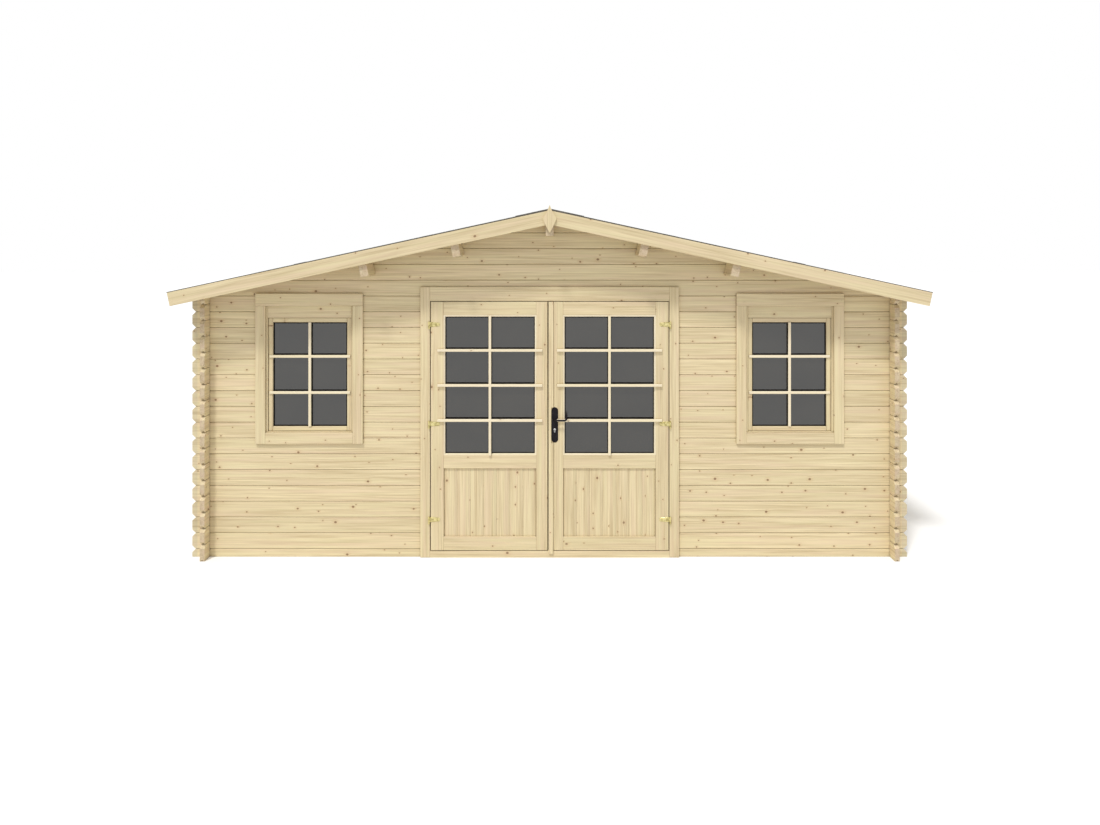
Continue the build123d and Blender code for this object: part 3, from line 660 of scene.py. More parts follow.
class Pile:
    """Pieces of wood or metal that are shaped one by one and joined into one mesh."""

    def __init__(self, name: str, seed: int = 0) -> None:
        """Starts an empty pile.

        Args:
            name: The name of the object that it becomes.
            seed: The number of its first piece, which picks that piece's grain.
        """
        self.name = name
        self.number = seed
        self.verts: list[Point] = []
        self.faces: list[list[int]] = []
        self.grain: list[Point] = []
        self.board: list[float] = []
        self.end: list[float] = []

    def take(self, shape: Shape, along: Vector, across: Vector) -> None:
        """Adds a closed shape and frees it.

        Args:
            shape: The shape, in its place.
            along: The direction of its grain.
            across: A direction square to the grain, in the widest face.
        """
        bmesh.ops.recalc_face_normals(shape, faces=shape.faces)
        shape.normal_update()
        first = len(self.verts)
        through = along.cross(across)
        low = Vector([min(v.co[i] for v in shape.verts) for i in range(3)])
        high = Vector([max(v.co[i] for v in shape.verts) for i in range(3)])
        middle = (low + high) / 2
        for index, vert in enumerate(shape.verts):
            vert.index = index
            place = vert.co - middle
            self.verts.append(tuple(vert.co))
            self.grain.append((place.dot(along), place.dot(across), place.dot(through)))
            self.board.append(float(self.number))
        for face in shape.faces:
            self.faces.append([first + v.index for v in face.verts])
            self.end.append(1.0 if abs(face.normal.dot(along)) > 0.85 else 0.0)
        shape.free()
        self.number += 1

    def board_between(self, low: Sequence[float], high: Sequence[float], along: int,
                      ease: float = 0.0015) -> None:
        """Adds a board between two corners, with its edges eased.

        Args:
            low: Its lowest corner.
            high: Its highest corner.
            along: The number of the axis that its grain follows.
            ease: The width of the flat on each edge.
        """
        shape = bmesh.new()
        bmesh.ops.create_cube(shape, size=1.0)
        size = [high[i] - low[i] for i in range(3)]
        for vert in shape.verts:
            vert.co = Vector([low[i] + (vert.co[i] + 0.5) * size[i] for i in range(3)])
        if ease:
            bmesh.ops.bevel(shape, geom=shape.edges[:], offset=ease, segments=1, affect="EDGES")
        others = sorted((i for i in range(3) if i != along), key=lambda i: -size[i])
        self.take(shape, unit(along), unit(others[0]))

    def prism(self, outline: Sequence[Sequence[float]], start: Vector, end: Vector, side: Vector,
              up: Vector, mitre: float = 0.0) -> None:
        """Adds a moulding between two points.

        Args:
            outline: Its section, as distances along side and up.
            start: Where its first corner line begins.
            end: Where that line ends.
            side: The direction of the outline's first number.
            up: The direction of the outline's second number.
            mitre: How far each end draws in, for each unit along side.
        """
        shape = bmesh.new()
        along = (end - start).normalized()
        rows = []
        for origin, sign in ((start, 1.0), (end, -1.0)):
            row = [origin + side * a + up * b + along * (sign * mitre * a) for a, b in outline]
            rows.append([shape.verts.new(place) for place in row])
        skin(shape, rows)
        self.take(shape, along, side)

    def frame_round(self, low: Sequence[float], high: Sequence[float],
                    outline: Sequence[Sequence[float]]) -> None:
        """Adds a mitred moulding round the inside of an upright opening.

        Args:
            low: The opening's lowest X and Z.
            high: Its highest X and Z.
            outline: The section, as the distance into the opening and the Y of each corner.
        """
        corners = [Vector((low[0], 0, low[1])), Vector((high[0], 0, low[1]))]
        corners += [Vector((high[0], 0, high[1])), Vector((low[0], 0, high[1]))]
        inward = [Vector((0, 0, 1)), Vector((-1, 0, 0)), Vector((0, 0, -1)), Vector((1, 0, 0))]
        for i, side in enumerate(inward):
            self.prism(outline, corners[i], corners[(i + 1) % 4], side, Vector((0, 1, 0)), mitre=1.0)

    def turned(self, outline: Sequence[Sequence[float]], centre: Vector, axis: Vector,
               steps: int = 24) -> None:
        """Adds a turned shape.

        Args:
            outline: Its half section from one end to the other, as radius and height.
            centre: Where the height is 0.
            axis: The direction of the height.
            steps: How many flats go round.
        """
        shape = bmesh.new()
        side = Vector((1, 0, 0)) if abs(axis.x) < 0.9 else Vector((0, 1, 0))
        other = axis.cross(side)
        rings = []
        for radius, height in outline:
            middle = centre + axis * height
            if radius < MERGE:
                rings.append([shape.verts.new(middle)])
                continue
            turn = [2 * math.pi * i / steps for i in range(steps)]
            spots = [middle + (side * math.cos(a) + other * math.sin(a)) * radius for a in turn]
            rings.append([shape.verts.new(spot) for spot in spots])
        for low, high in zip(rings, rings[1:]):
            for i in range(steps):
                j = (i + 1) % steps
                if len(low) == 1:
                    shape.faces.new((low[0], high[i], high[j]))
                elif len(high) == 1:
                    shape.faces.new((low[i], high[0], low[j]))
                else:
                    shape.faces.new((low[i], high[i], high[j], low[j]))
        for ring in (rings[0], rings[-1]):
            if len(ring) > 1:
                shape.faces.new(ring)
        self.take(shape, axis, side)

    def piece(self, finish: Finish, smooth: float = 0.0) -> bpy.types.Object:
        """Makes the object.

        Args:
            finish: The finish of the whole piece.
            smooth: The angle in radians up to which an edge is shaded smooth.

        Returns:
            The new object, at the origin.
        """
        mesh = bpy.data.meshes.new(self.name)
        mesh.from_pydata(self.verts, [], self.faces)
        for name, kind, domain, field_name, values in (
            ("grain", "FLOAT_VECTOR", "POINT", "vector", self.grain),
            ("board", "FLOAT", "POINT", "value", self.board),
            ("end", "FLOAT", "FACE", "value", self.end),
        ):
            layer = mesh.attributes.new(name, kind, domain)
            layer.data.foreach_set(field_name, np.array(values, np.float32).ravel())
        mesh.materials.append(PAINTS.get(finish))
        if smooth:
            mesh.polygons.foreach_set("use_smooth", [True] * len(mesh.polygons))
            mesh.set_sharp_from_angle(angle=smooth)
        return show(self.name, mesh)


def unit(axis: int) -> Vector:
    """The direction of an axis, by its number."""
    made = Vector((0, 0, 0))
    made[axis] = 1.0
    return made


def show(name: str, mesh: bpy.types.Mesh) -> bpy.types.Object:
    """Puts a mesh in the scene as an object at the origin."""
    made = bpy.data.objects.new(name, mesh)
    bpy.context.scene.collection.objects.link(made)
    return made


def dress(node: str, finish: Finish) -> None:
    """Gives a CAD node its finish."""
    mesh = frame["nodes"][node].data
    mesh.materials.clear()
    mesh.materials.append(PAINTS.get(finish))
    LOG.info("%s: %s", node, finish.name)


def settle(piece: bpy.types.Object, body: str, slot: str, *nodes: str) -> None:
    """Ties a finished piece to the model.

    Args:
        piece: The piece.
        body: The body that it moves with.
        slot: The record's material slot; not used.
        *nodes: The CAD nodes that it stands for.
    """
    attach(piece, body)
    if nodes:
        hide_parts(*nodes)
    LOG.info("%s: %d faces on %s", piece.name, len(piece.data.polygons), body)


class NodeTree:
    """A Geometry Nodes tree with named inputs, and the objects that it makes."""

    def __init__(self, name: str, inputs: Sequence[tuple[str, str]]) -> None:
        """Starts the tree.

        Args:
            name: The tree's name.
            inputs: The name and socket type of each input after the geometry.
        """
        self.tree = bpy.data.node_groups.new(name, "GeometryNodeTree")
        face = self.tree.interface
        face.new_socket("Geometry", in_out="INPUT", socket_type="NodeSocketGeometry")
        face.new_socket("Geometry", in_out="OUTPUT", socket_type="NodeSocketGeometry")
        for label, kind in inputs:
            face.new_socket(label, in_out="INPUT", socket_type=kind)
        self.graph = Graph(self.tree)
        self.given = self.graph.node("NodeGroupInput").outputs
        self.build()

    def build(self) -> None:
        """Writes the nodes."""
        raise NotImplementedError

    def end(self, geometry: Socket) -> None:
        """Ends the tree in real geometry with its material."""
        real = self.graph.node("GeometryNodeRealizeInstances", {0: geometry}).outputs[0]
        values = {"Geometry": real, "Material": self.given["Material"]}
        dressed = self.graph.node("GeometryNodeSetMaterial", values)
        self.graph.node("NodeGroupOutput", {0: dressed.outputs[0]})

    def make(self, name: str, start: bpy.types.Mesh, values: dict, finish: Finish) -> bpy.types.Object:
        """Runs the tree and keeps its result as a plain mesh.

        Args:
            name: The name of the new object.
            start: The mesh that the tree starts from.
            values: The value of each named input.
            finish: The finish of the result.

        Returns:
            The object, with no modifier left on it.
        """
        base = show(name + "_start", start)
        modifier = base.modifiers.new("tree", "NODES")
        modifier.node_group = self.tree
        values = {**values, "Material": PAINTS.get(finish)}
        for item in self.tree.interface.items_tree:
            if item.in_out == "INPUT" and item.name in values:
                modifier[item.identifier] = values[item.name]
        graph = bpy.context.evaluated_depsgraph_get()
        mesh = bpy.data.meshes.new_from_object(base.evaluated_get(graph), depsgraph=graph)
        base.modifiers.remove(modifier)
        bpy.data.objects.remove(base)
        mesh.name = name
        return show(name, mesh)


class BoardRow(NodeTree):
    """Boards side by side: each runs along X, the row grows along Y, and Z is the thickness."""

    def __init__(self) -> None:
        """Names the inputs and writes the tree."""
        super().__init__("board_row", [
            ("Count", "NodeSocketInt"), ("Pitch", "NodeSocketFloat"), ("Length", "NodeSocketFloat"),
            ("Width", "NodeSocketFloat"), ("Thick", "NodeSocketFloat"), ("Edge", "NodeSocketFloat"),
            ("Place", "NodeSocketVector"), ("Turn", "NodeSocketVector"), ("Seed", "NodeSocketInt"),
            ("Material", "NodeSocketMaterial")])

    def build(self) -> None:
        """Writes one board with eased edges, its row, and the numbers that pick each board's grain."""
        graph, given = self.graph, self.given
        line = graph.node("GeometryNodeCurvePrimitiveLine", {"End": graph.combine(given["Length"])})
        outline = graph.node("GeometryNodeCurvePrimitiveQuadrilateral",
                             {"Width": given["Width"], "Height": given["Thick"]})
        values = {"Curve": outline.outputs[0], "Radius": given["Edge"]}
        eased = graph.node("GeometryNodeFilletCurve", values)
        if "Mode" in eased.inputs:
            eased.inputs["Mode"].default_value = "Poly"
        else:
            eased.mode = "POLY"
        board = graph.node("GeometryNodeCurveToMesh", {
            "Curve": line.outputs[0], "Profile Curve": eased.outputs[0], "Fill Caps": True})
        kept = graph.node("GeometryNodeStoreNamedAttribute", {
            "Geometry": board.outputs[0], "Name": "grain",
            "Value": graph.node("GeometryNodeInputPosition").outputs[0]}, data_type="FLOAT_VECTOR")
        side = graph.split(graph.node("GeometryNodeInputNormal").outputs[0])[0]
        cap = graph.math("GREATER_THAN", graph.math("ABSOLUTE", side), 0.85)
        kept = graph.node("GeometryNodeStoreNamedAttribute", {
            "Geometry": kept.outputs[0], "Name": "end", "Value": cap}, domain="FACE")
        steps = graph.math("SUBTRACT", given["Count"], 1.0)
        half = graph.math("MULTIPLY", graph.math("MULTIPLY", steps, given["Pitch"]), -0.5)
        points = graph.node("GeometryNodeMeshLine", {
            "Count": given["Count"], "Start Location": graph.combine(0.0, half),
            "Offset": graph.combine(0.0, given["Pitch"])})
        row = graph.node("GeometryNodeInstanceOnPoints", {
            "Points": points.outputs[0], "Instance": kept.outputs[0]})
        number = graph.math("ADD", graph.node("GeometryNodeInputIndex").outputs[0], given["Seed"])
        numbered = graph.node("GeometryNodeStoreNamedAttribute", {
            "Geometry": row.outputs[0], "Name": "board", "Value": number}, domain="INSTANCE")
        placed = graph.node("GeometryNodeTransform", {
            "Geometry": numbered.outputs[0], "Translation": given["Place"], "Rotation": given["Turn"]})
        self.end(placed.outputs[0])

    def lay(self, name: str, finish: Finish, count: int, pitch: float, size: Sequence[float], edge: float,
            place: Sequence[float], seed: int, turn: Sequence[float] = (0.0, 0.0, 0.0)) -> bpy.types.Object:
        """Lays a row of boards.

        Args:
            name: The name of the new object.
            finish: The boards' finish.
            count: How many boards there are.
            pitch: The distance from one board to the next.
            size: The length, width and thickness of a board.
            edge: The radius of its eased edges.
            place: The middle of the end that the boards start from.
            seed: The number of the first board, which picks its grain.
            turn: How the whole row is turned, before it is placed.

        Returns:
            The object that holds all the boards.
        """
        values = {"Count": count, "Pitch": pitch, "Length": size[0], "Width": size[1], "Thick": size[2],
                  "Edge": edge, "Place": place, "Turn": turn, "Seed": seed}
        return self.make(name, bpy.data.meshes.new("nothing"), values, finish)


class StudField(NodeTree):
    """One head on each vertex of the start mesh, turned to face along that vertex's 'facing'."""

    def __init__(self) -> None:
        """Names the inputs and writes the tree."""
        super().__init__("stud_field", [("Head", "NodeSocketObject"), ("Seed", "NodeSocketInt"),
                                       ("Material", "NodeSocketMaterial")])

    def build(self) -> None:
        """Writes the instances, each with a spin of its own."""
        graph, given = self.graph, self.given
        facing = graph.node("GeometryNodeInputNamedAttribute", {"Name": "facing"}, data_type="FLOAT_VECTOR")
        turn = graph.node("FunctionNodeAlignRotationToVector", {"Vector": facing.outputs[0]}, axis="Z")
        head = graph.node("GeometryNodeObjectInfo", {"Object": given["Head"]})
        row = graph.node("GeometryNodeInstanceOnPoints", {
            "Points": given["Geometry"], "Instance": head.outputs["Geometry"], "Rotation": turn.outputs[0]})
        spin = graph.node("FunctionNodeRandomValue", {"Seed": given["Seed"]}, data_type="FLOAT")
        spin.inputs[3].default_value = 2 * math.pi
        spun = graph.node("GeometryNodeRotateInstances", {
            "Instances": row.outputs[0], "Rotation": graph.combine(0.0, 0.0, spin.outputs[1])})
        self.end(spun.outputs[0])

    def scatter(self, name: str, spots: Sequence[tuple[Vector, Vector]], head: bpy.types.Object,
                finish: Finish, seed: int) -> bpy.types.Object:
        """Puts a head on each spot.

        Args:
            name: The name of the new object.
            spots: The place and the facing of each head.
            head: The head, which looks along Z.
            finish: The finish of the heads.
            seed: The seed of their spins.

        Returns:
            The object that holds all the heads.
        """
        mesh = bpy.data.meshes.new(name + "_spots")
        mesh.from_pydata([tuple(place) for place, _ in spots], [], [])
        layer = mesh.attributes.new("facing", "FLOAT_VECTOR", "POINT")
        layer.data.foreach_set("vector", np.array([tuple(f) for _, f in spots], np.float32).ravel())
        return self.make(name, mesh, {"Head": head, "Seed": seed}, finish)


BOARDS = BoardRow()
STUDS = StudField()


def screw_head(radius: float, rise: float, steps: int = 18) -> bpy.types.Object:
    """Makes a countersunk head with a six-lobed recess, to be copied.

    Args:
        radius: The head's radius.
        rise: How far it stands out.
        steps: How many flats go round, a multiple of 6.

    Returns:
        An object that isn't in the scene.
    """
    shape = bmesh.new()
    rings = []
    recess = rise - 0.0011
    for share, height, lobed in ((1.0, -0.0006, 0.0), (1.0, rise * 0.4, 0.0), (0.82, rise, 0.0),
                                 (0.46, rise, 0.10), (0.40, recess, 0.10)):
        ring = []
        for i in range(steps):
            turn = 2 * math.pi * i / steps
            reach = radius * (share + lobed * math.cos(6 * turn))
            ring.append(shape.verts.new((reach * math.cos(turn), reach * math.sin(turn), height)))
        rings.append(ring)
    skin(shape, rings)
    bmesh.ops.recalc_face_normals(shape, faces=shape.faces)
    mesh = bpy.data.meshes.new("screw_head")
    shape.to_mesh(mesh)
    shape.free()
    return bpy.data.objects.new("screw_head", mesh)


@dataclass
class LogWalls:
    """The stacked logs, which keep their CAD shape, and the other plain timbers of the shell."""

    finishes: dict[str, SpruceFinish] = field(default_factory=lambda: {**LOG_FINISHES, **PLAIN_NODES})

    def build(self) -> None:
        """Gives each node its wood."""
        for node, finish in self.finishes.items():
            dress(node, finish)


@dataclass
class Roof:
    """Boards, felt in lapped strips, ridge strip and felt nails."""

    board_pitch: float = 0.0955
    board_joint: float = 0.0008
    board_edge: float = 0.003
    strip_width: float = 1.0
    lap: float = 0.09
    lift_start: float = 0.02
    lift_end: float = 0.01
    sheet: float = 0.0042
    overhang: float = 0.002
    verge_band: float = 0.05
    verge_rise: float = 0.009
    band_edge: float = 0.0008
    band_start: float = 0.241
    ridge_half: float = 0.24
    ridge_rise: float = 0.0125
    strip_top: float = 0.004
    nail_pitch: float = 0.15
    nail_inset: float = 0.03
    nail_margin: float = 0.08
    nail_clear: float = 0.12
    nail_radius: float = 0.0055
    nail_rise: float = 0.0009
    finial_edge: float = 0.0008

    def __post_init__(self) -> None:
        """Reads the roof's form from the frame."""
        self.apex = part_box("ridge_purlin")[1].z
        low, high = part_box("roof_deck_right")
        self.slope = (high.x - DECK_THICK * PITCH_SIN) / PITCH_COS
        self.y0, self.y1 = low.y, high.y
        self.verge0, self.verge1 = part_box("roof_felt_right")[0].y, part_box("roof_felt_right")[1].y

    def spot(self, side: int, along: float, above: float, y: float) -> Vector:
        """A place on a slope.

        Args:
            side: 1 for the right-hand slope, -1 for the left-hand one.
            along: The distance down the slope from the ridge.
            above: The height over the underside of the boards, square to the slope.
            y: The place along the ridge.

        Returns:
            The point.
        """
        x = along * PITCH_COS + above * PITCH_SIN
        z = self.apex - along * PITCH_SIN + above * PITCH_COS
        return Vector((side * x, y, z))

    def boards(self) -> None:
        """Lays the roof boards of both slopes."""
        count = round((self.y1 - self.y0) / self.board_pitch)
        pitch = (self.y1 - self.y0) / count
        size = (self.slope, pitch - self.board_joint, DECK_THICK - 2 * CLEAR_GAP)
        for side, word, heading, seed in ((1, "right", 0.0, 400), (-1, "left", math.pi, 500)):
            middle = self.spot(side, 0.0, DECK_THICK / 2, (self.y0 + self.y1) / 2)
            piece = BOARDS.lay(f"roof_boards_{word}", ROOF_WOOD, count, pitch, size, self.board_edge,
                               middle, seed, (0.0, ROOF_PITCH, heading))
            settle(piece, "cabin", "roof_wood", f"roof_deck_{word}")

    def strip(self, pile: Pile, side: int, low_end: float, high_end: float, lifted: bool) -> None:
        """Adds one strip of felt.

        Args:
            pile: Where it goes.
            side: Which slope it lies on.
            low_end: The distance of its lower edge from the ridge.
            high_end: The distance of its upper edge from the ridge.
            lifted: Whether its lower edge lies on another strip.
        """
        base = DECK_THICK
        line = [(high_end, base)]
        if lifted:
            under = low_end - self.lap
            line += [(under - self.lift_start, base), (under + self.lift_end, base + self.sheet)]
            line.append((low_end, base + self.sheet))
        else:
            line.append((low_end + self.overhang, base))
        outline = line + [(a, h + self.sheet) for a, h in reversed(line)]
        shape = bmesh.new()
        rows = self.section_rows(shape, side, outline, self.verge0, self.verge1)
        skin(shape, rows, caps=False)
        last = len(outline) - 1
        for row in rows:
            for i in range(len(line) - 1):
                shape.faces.new((row[i], row[i + 1], row[last - 1 - i], row[last - i]))
        pile.take(shape, Vector((0, 1, 0)), Vector((1, 0, 0)))

    def section_rows(self, shape: Shape, side: int, outline: Sequence[Sequence[float]], near: float,
                     far: float) -> list[list[Vert]]:
        """Puts the corners of a section across the slope at two places along the ridge.

        Args:
            shape: The shape that gets the corners.
            side: Which slope the section lies on.
            outline: Its corners, as the distance down the slope and the height over the boards' underside.
            near: The Y of the first row.
            far: The Y of the second row.

        Returns:
            The two rows of corners.
        """
        return [[shape.verts.new(self.spot(side, a, h, y)) for a, h in outline] for y in (near, far)]

    def felt(self) -> None:
        """Lays the strips of each slope from the eaves up, and doubles them at the verges."""
        for side, word in ((1, "right"), (-1, "left")):
            pile = Pile(f"felt_strips_{word}")
            low_end, lifted = self.slope, False
            while low_end > self.lap * 2:
                high_end = max(low_end - self.strip_width, self.strip_top)
                self.strip(pile, side, low_end, high_end, lifted)
                if high_end <= self.strip_top:
                    break
                low_end, lifted = high_end + self.lap, True
            self.band(pile, side)
            settle(pile.piece(FELT), "cabin", "roof_felt", f"roof_felt_{word}")

    def band(self, pile: Pile, side: int) -> None:
        """Doubles the felt along both verges of a slope, thinner towards the eaves."""
        low, high, start = DECK_THICK + self.sheet, DECK_THICK + self.verge_rise, self.band_start
        outline = [(start, low), (self.slope, low), (self.slope, low + self.band_edge), (start, high)]
        for near, far in ((self.verge0 - CLEAR_GAP, self.verge0 + self.verge_band),
                          (self.verge1 - self.verge_band, self.verge1 + CLEAR_GAP)):
            shape = bmesh.new()
            skin(shape, self.section_rows(shape, side, outline, near, far))
            pile.take(shape, Vector((0, 1, 0)), Vector((1, 0, 0)))

    def ridge_cap(self) -> None:
        """Lays the double strip over the ridge."""
        cap = Pile("felt_ridge_strip")
        shape = bmesh.new()
        rows = []
        for y in (self.verge0 - CLEAR_GAP, self.verge1 + CLEAR_GAP):
            lines = []
            for above in (DECK_THICK + self.sheet, DECK_THICK + self.ridge_rise):
                top = Vector((0, y, self.apex + above / PITCH_COS))
                left, right = (self.spot(side, self.ridge_half, above, y) for side in (-1, 1))
                lines.append([left, top, right])
            rows.append([shape.verts.new(place) for place in lines[0] + lines[1][::-1]])
        skin(shape, rows, caps=False)
        for row in rows:
            shape.faces.new((row[0], row[1], row[4], row[5]))
            shape.faces.new((row[1], row[2], row[3], row[4]))
        cap.take(shape, Vector((0, 1, 0)), Vector((1, 0, 0)))
        settle(cap.piece(FELT), "cabin", "roof_felt")

    def nails(self) -> None:
        """Drives nails along the laps, the ridge strip and the verges."""
        spots = []
        count = int((self.verge1 - self.verge0) / self.nail_pitch)
        first, last = self.verge0 + self.nail_margin, self.verge1 - self.nail_margin
        rows = [(self.ridge_half - self.nail_inset, DECK_THICK + self.ridge_rise)]
        low_end = self.slope
        while low_end - self.strip_width > 0:
            low_end = low_end - self.strip_width + self.lap
            rows.append((low_end - self.nail_inset, DECK_THICK + 2 * self.sheet))
        thin = self.sheet + self.band_edge
        for side in (1, -1):
            up = self.spot(side, 0.0, 1.0, 0.0) - self.spot(side, 0.0, 0.0, 0.0)
            for along, above in rows:
                spots += [(self.spot(side, along, above, first + i * (last - first) / count), up)
                          for i in range(count + 1)]
            for i in range(1, int(self.slope / self.nail_pitch)):
                along = i * self.nail_pitch
                if min(abs(along - row) for row, _ in rows) <= self.nail_clear:
                    continue
                above = DECK_THICK + self.verge_rise + (thin - self.verge_rise) * along / self.slope
                for y in (self.verge0 + self.verge_band / 2, self.verge1 - self.verge_band / 2):
                    spots.append((self.spot(side, along, above, y), up))
        head = screw_head(self.nail_radius, self.nail_rise, 12)
        settle(STUDS.scatter("felt_nails", spots, head, NAIL, 5), "cabin", "lock_steel")

    def finial(self) -> None:
        """Cuts the two lozenges, with their edges eased, over those of the CAD."""
        for index, (low, high) in enumerate(solids("ridge_finials")):
            node = frame["nodes"]["ridge_finials"].data
            shape = bmesh.new()
            shape.from_mesh(node)
            bmesh.ops.remove_doubles(shape, verts=shape.verts, dist=MERGE)
            middle = (low.y + high.y) / 2
            away = [v for v in shape.verts if v.co.y * middle < 0]
            bmesh.ops.delete(shape, geom=away, context="VERTS")
            flat = [f for f in shape.faces if abs(f.normal.y) > 0.99]
            bmesh.ops.dissolve_faces(shape, faces=flat)
            rim = [e for e in shape.edges if sum(abs(f.normal.y) > 0.99 for f in e.link_faces) == 1]
            bmesh.ops.bevel(shape, geom=rim, offset=self.finial_edge, segments=1, affect="EDGES")
            pile = Pile(f"finial_{'front' if middle < 0 else 'back'}", 640 + index)
            pile.take(shape, Vector((0, 0, 1)), Vector((1, 0, 0)))
            settle(pile.piece(BOARD_WOOD), "cabin", "trim_wood", "ridge_finials")

    def build(self) -> None:
        """Makes the whole roof."""
        self.boards()
        self.felt()
        self.ridge_cap()
        self.nails()
        self.finial()


@dataclass
class FloorDeck:
    """The floor's boards, from side to side."""

    board_pitch: float = 0.0925
    board_joint: float = 0.001
    board_edge: float = 0.0022

    def build(self) -> None:
        """Lays full boards, and shorter ones beside the door frame."""
        low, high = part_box("floor_boards")
        frame_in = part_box("door_jambs")[1].y
        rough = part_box("door_jambs")[1].x
        middle_z = (low.z + high.z) / 2
        count = round((high.y - frame_in) / self.board_pitch)
        rows = [(low.x, high.x, frame_in, high.y, count, "floor_boarding", 700)]
        rows.append((low.x, -rough, low.y, frame_in, 1, "floor_strip_left", 760))
        rows.append((rough, high.x, low.y, frame_in, 1, "floor_strip_right", 770))
        for x0, x1, y0, y1, number, name, seed in rows:
            pitch = (y1 - y0) / number
            size = (x1 - x0, pitch - self.board_joint, high.z - low.z - CLEAR_GAP)
            place = (x0, (y0 + y1) / 2, middle_z)
            piece = BOARDS.lay(name, FLOOR_WOOD, number, pitch, size, self.board_edge, place, seed)
            settle(piece, "cabin", "floor_wood", "floor_boards")


@dataclass
class BoardedNode:
    """A CAD node made of straight members, rebuilt as eased boards with grain along each."""

    node: str
    body: str
    slot: str
    seed: int
    ease: float = 0.0016

    def build(self) -> None:
        """Makes one board for each solid of the node."""
        pile = Pile(self.node + "_boards", self.seed)
        for low, high in solids(self.node):
            size = high - low
            along = max(range(3), key=lambda i: size[i])
            pile.board_between(low, high, along, self.ease)
        settle(pile.piece(BOARD_WOOD), self.body, self.slot, self.node)


@dataclass
class Bars:
    """How the bars of a pane are cut: an upright one, and some across that lap over the wood beside it."""

    width: float
    proud: float
    lap: float
    depth: float
    short: float = 0.0
    upright_back: float = 0.001
    upright_ease: float = 0.0015
    cross_ease: float = 0.002

    def add(self, pile: Pile, pane: tuple[Vector, Vector], face: float, levels: Sequence[float]) -> None:
        """Adds the bars of a pane.

        Args:
            pile: Where they go.
            pane: The pane's lowest and highest corner.
            face: The Y of the face of the wood round the pane.
            levels: The heights of the bars across.
        """
        low, high = pane
        middle, half, front = (low.x + high.x) / 2, self.width / 2, face - self.proud
        pile.board_between((middle - half, front + self.upright_back, low.z + self.short),
                           (middle + half, face + self.depth, high.z - self.short), 2, self.upright_ease)
        for z in levels:
            pile.board_between((low.x - self.lap, front, z - half),
                               (high.x + self.lap, face - CLEAR_GAP, z + half), 0, self.cross_ease)


# How far the black spacer bars stand before the pane, and how far they show beside, under and over a bar;
# the wider band over a bar is painted shade and reflection of the bar in the pane, drawn in black
SPACER_DEPTH = 0.0022
SPACER_BESIDE = 0.005
SPACER_UNDER = 0.002
SPACER_OVER = 0.009


def spacers_and_shade(name: str, body: str, pane: tuple[Vector, Vector], levels: Sequence[float], half: float,
            edge: float) -> None:
    """Adds the black spacer bars of a pane, behind its bars and round its edge, where they also show as
    black lines of painted shade and reflection.

    Args:
        name: The name of the new object.
        body: The body that it moves with.
        pane: The pane's lowest and highest corner.
        levels: The heights of the bars.
        half: Half the width of a bar.
        edge: The width of the spacer round the edge.
    """
    low, high = pane
    front, back = low.y - SPACER_DEPTH, low.y - CLEAR_GAP
    pile = Pile(name)
    outline = [(0.0, front), (edge, front), (edge, back), (0.0, back)]
    pile.frame_round((low.x, low.z), (high.x, high.z), outline)
    wide = half + SPACER_BESIDE
    middle = (low.x + high.x) / 2
    pile.board_between((middle - wide, front, low.z + edge), (middle + wide, back, high.z - edge), 2, 0.0)
    for z in levels:
        for x0, x1 in ((low.x + edge, middle - wide), (middle + wide, high.x - edge)):
            pile.board_between((x0, front, z - half - SPACER_UNDER),
                               (x1, back, z + half + SPACER_OVER), 0, 0.0)
    settle(pile.piece(SPACER_AND_SHADE), body, "lock_black")


@dataclass
class Window:
    """Glazing bars and spacers of one window."""

    # Glazing bars of one window, and black spacer bars that also give its lines of painted shade.
    word: str
    cut: Bars = field(default_factory=lambda: Bars(width=0.0195, proud=0.009, lap=0.024, depth=0.002))
    bar_spacing: float = 0.2635
    # Width of the black band round the pane, a spacer that also stands in for painted shade at the pane's
    # edge
    spacer: float = 0.0090

    def build(self) -> None:
        """Dresses the pane and adds its bars: one upright, and two across that lap over the sash."""
        node = f"window_{self.word}_glass"
        low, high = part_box(node)
        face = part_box(f"window_{self.word}_sash")[0].y
        dress(node, GLASS)
        bars = Pile(f"window_{self.word}_bars", 900 if self.word == "left" else 930)
        levels = [(low.z + high.z) / 2 + step * self.bar_spacing for step in (-0.5, 0.5)]
        self.cut.add(bars, (low, high), face, levels)
        settle(bars.piece(BEAD_WOOD), "cabin", "trim_wood")
        half = self.cut.width / 2
        # Black spacer bars, which also paint the shade lines beside the bars and round the pane
        spacers_and_shade(f"window_{self.word}_spacers", "cabin", (low, high), levels, half, self.spacer)


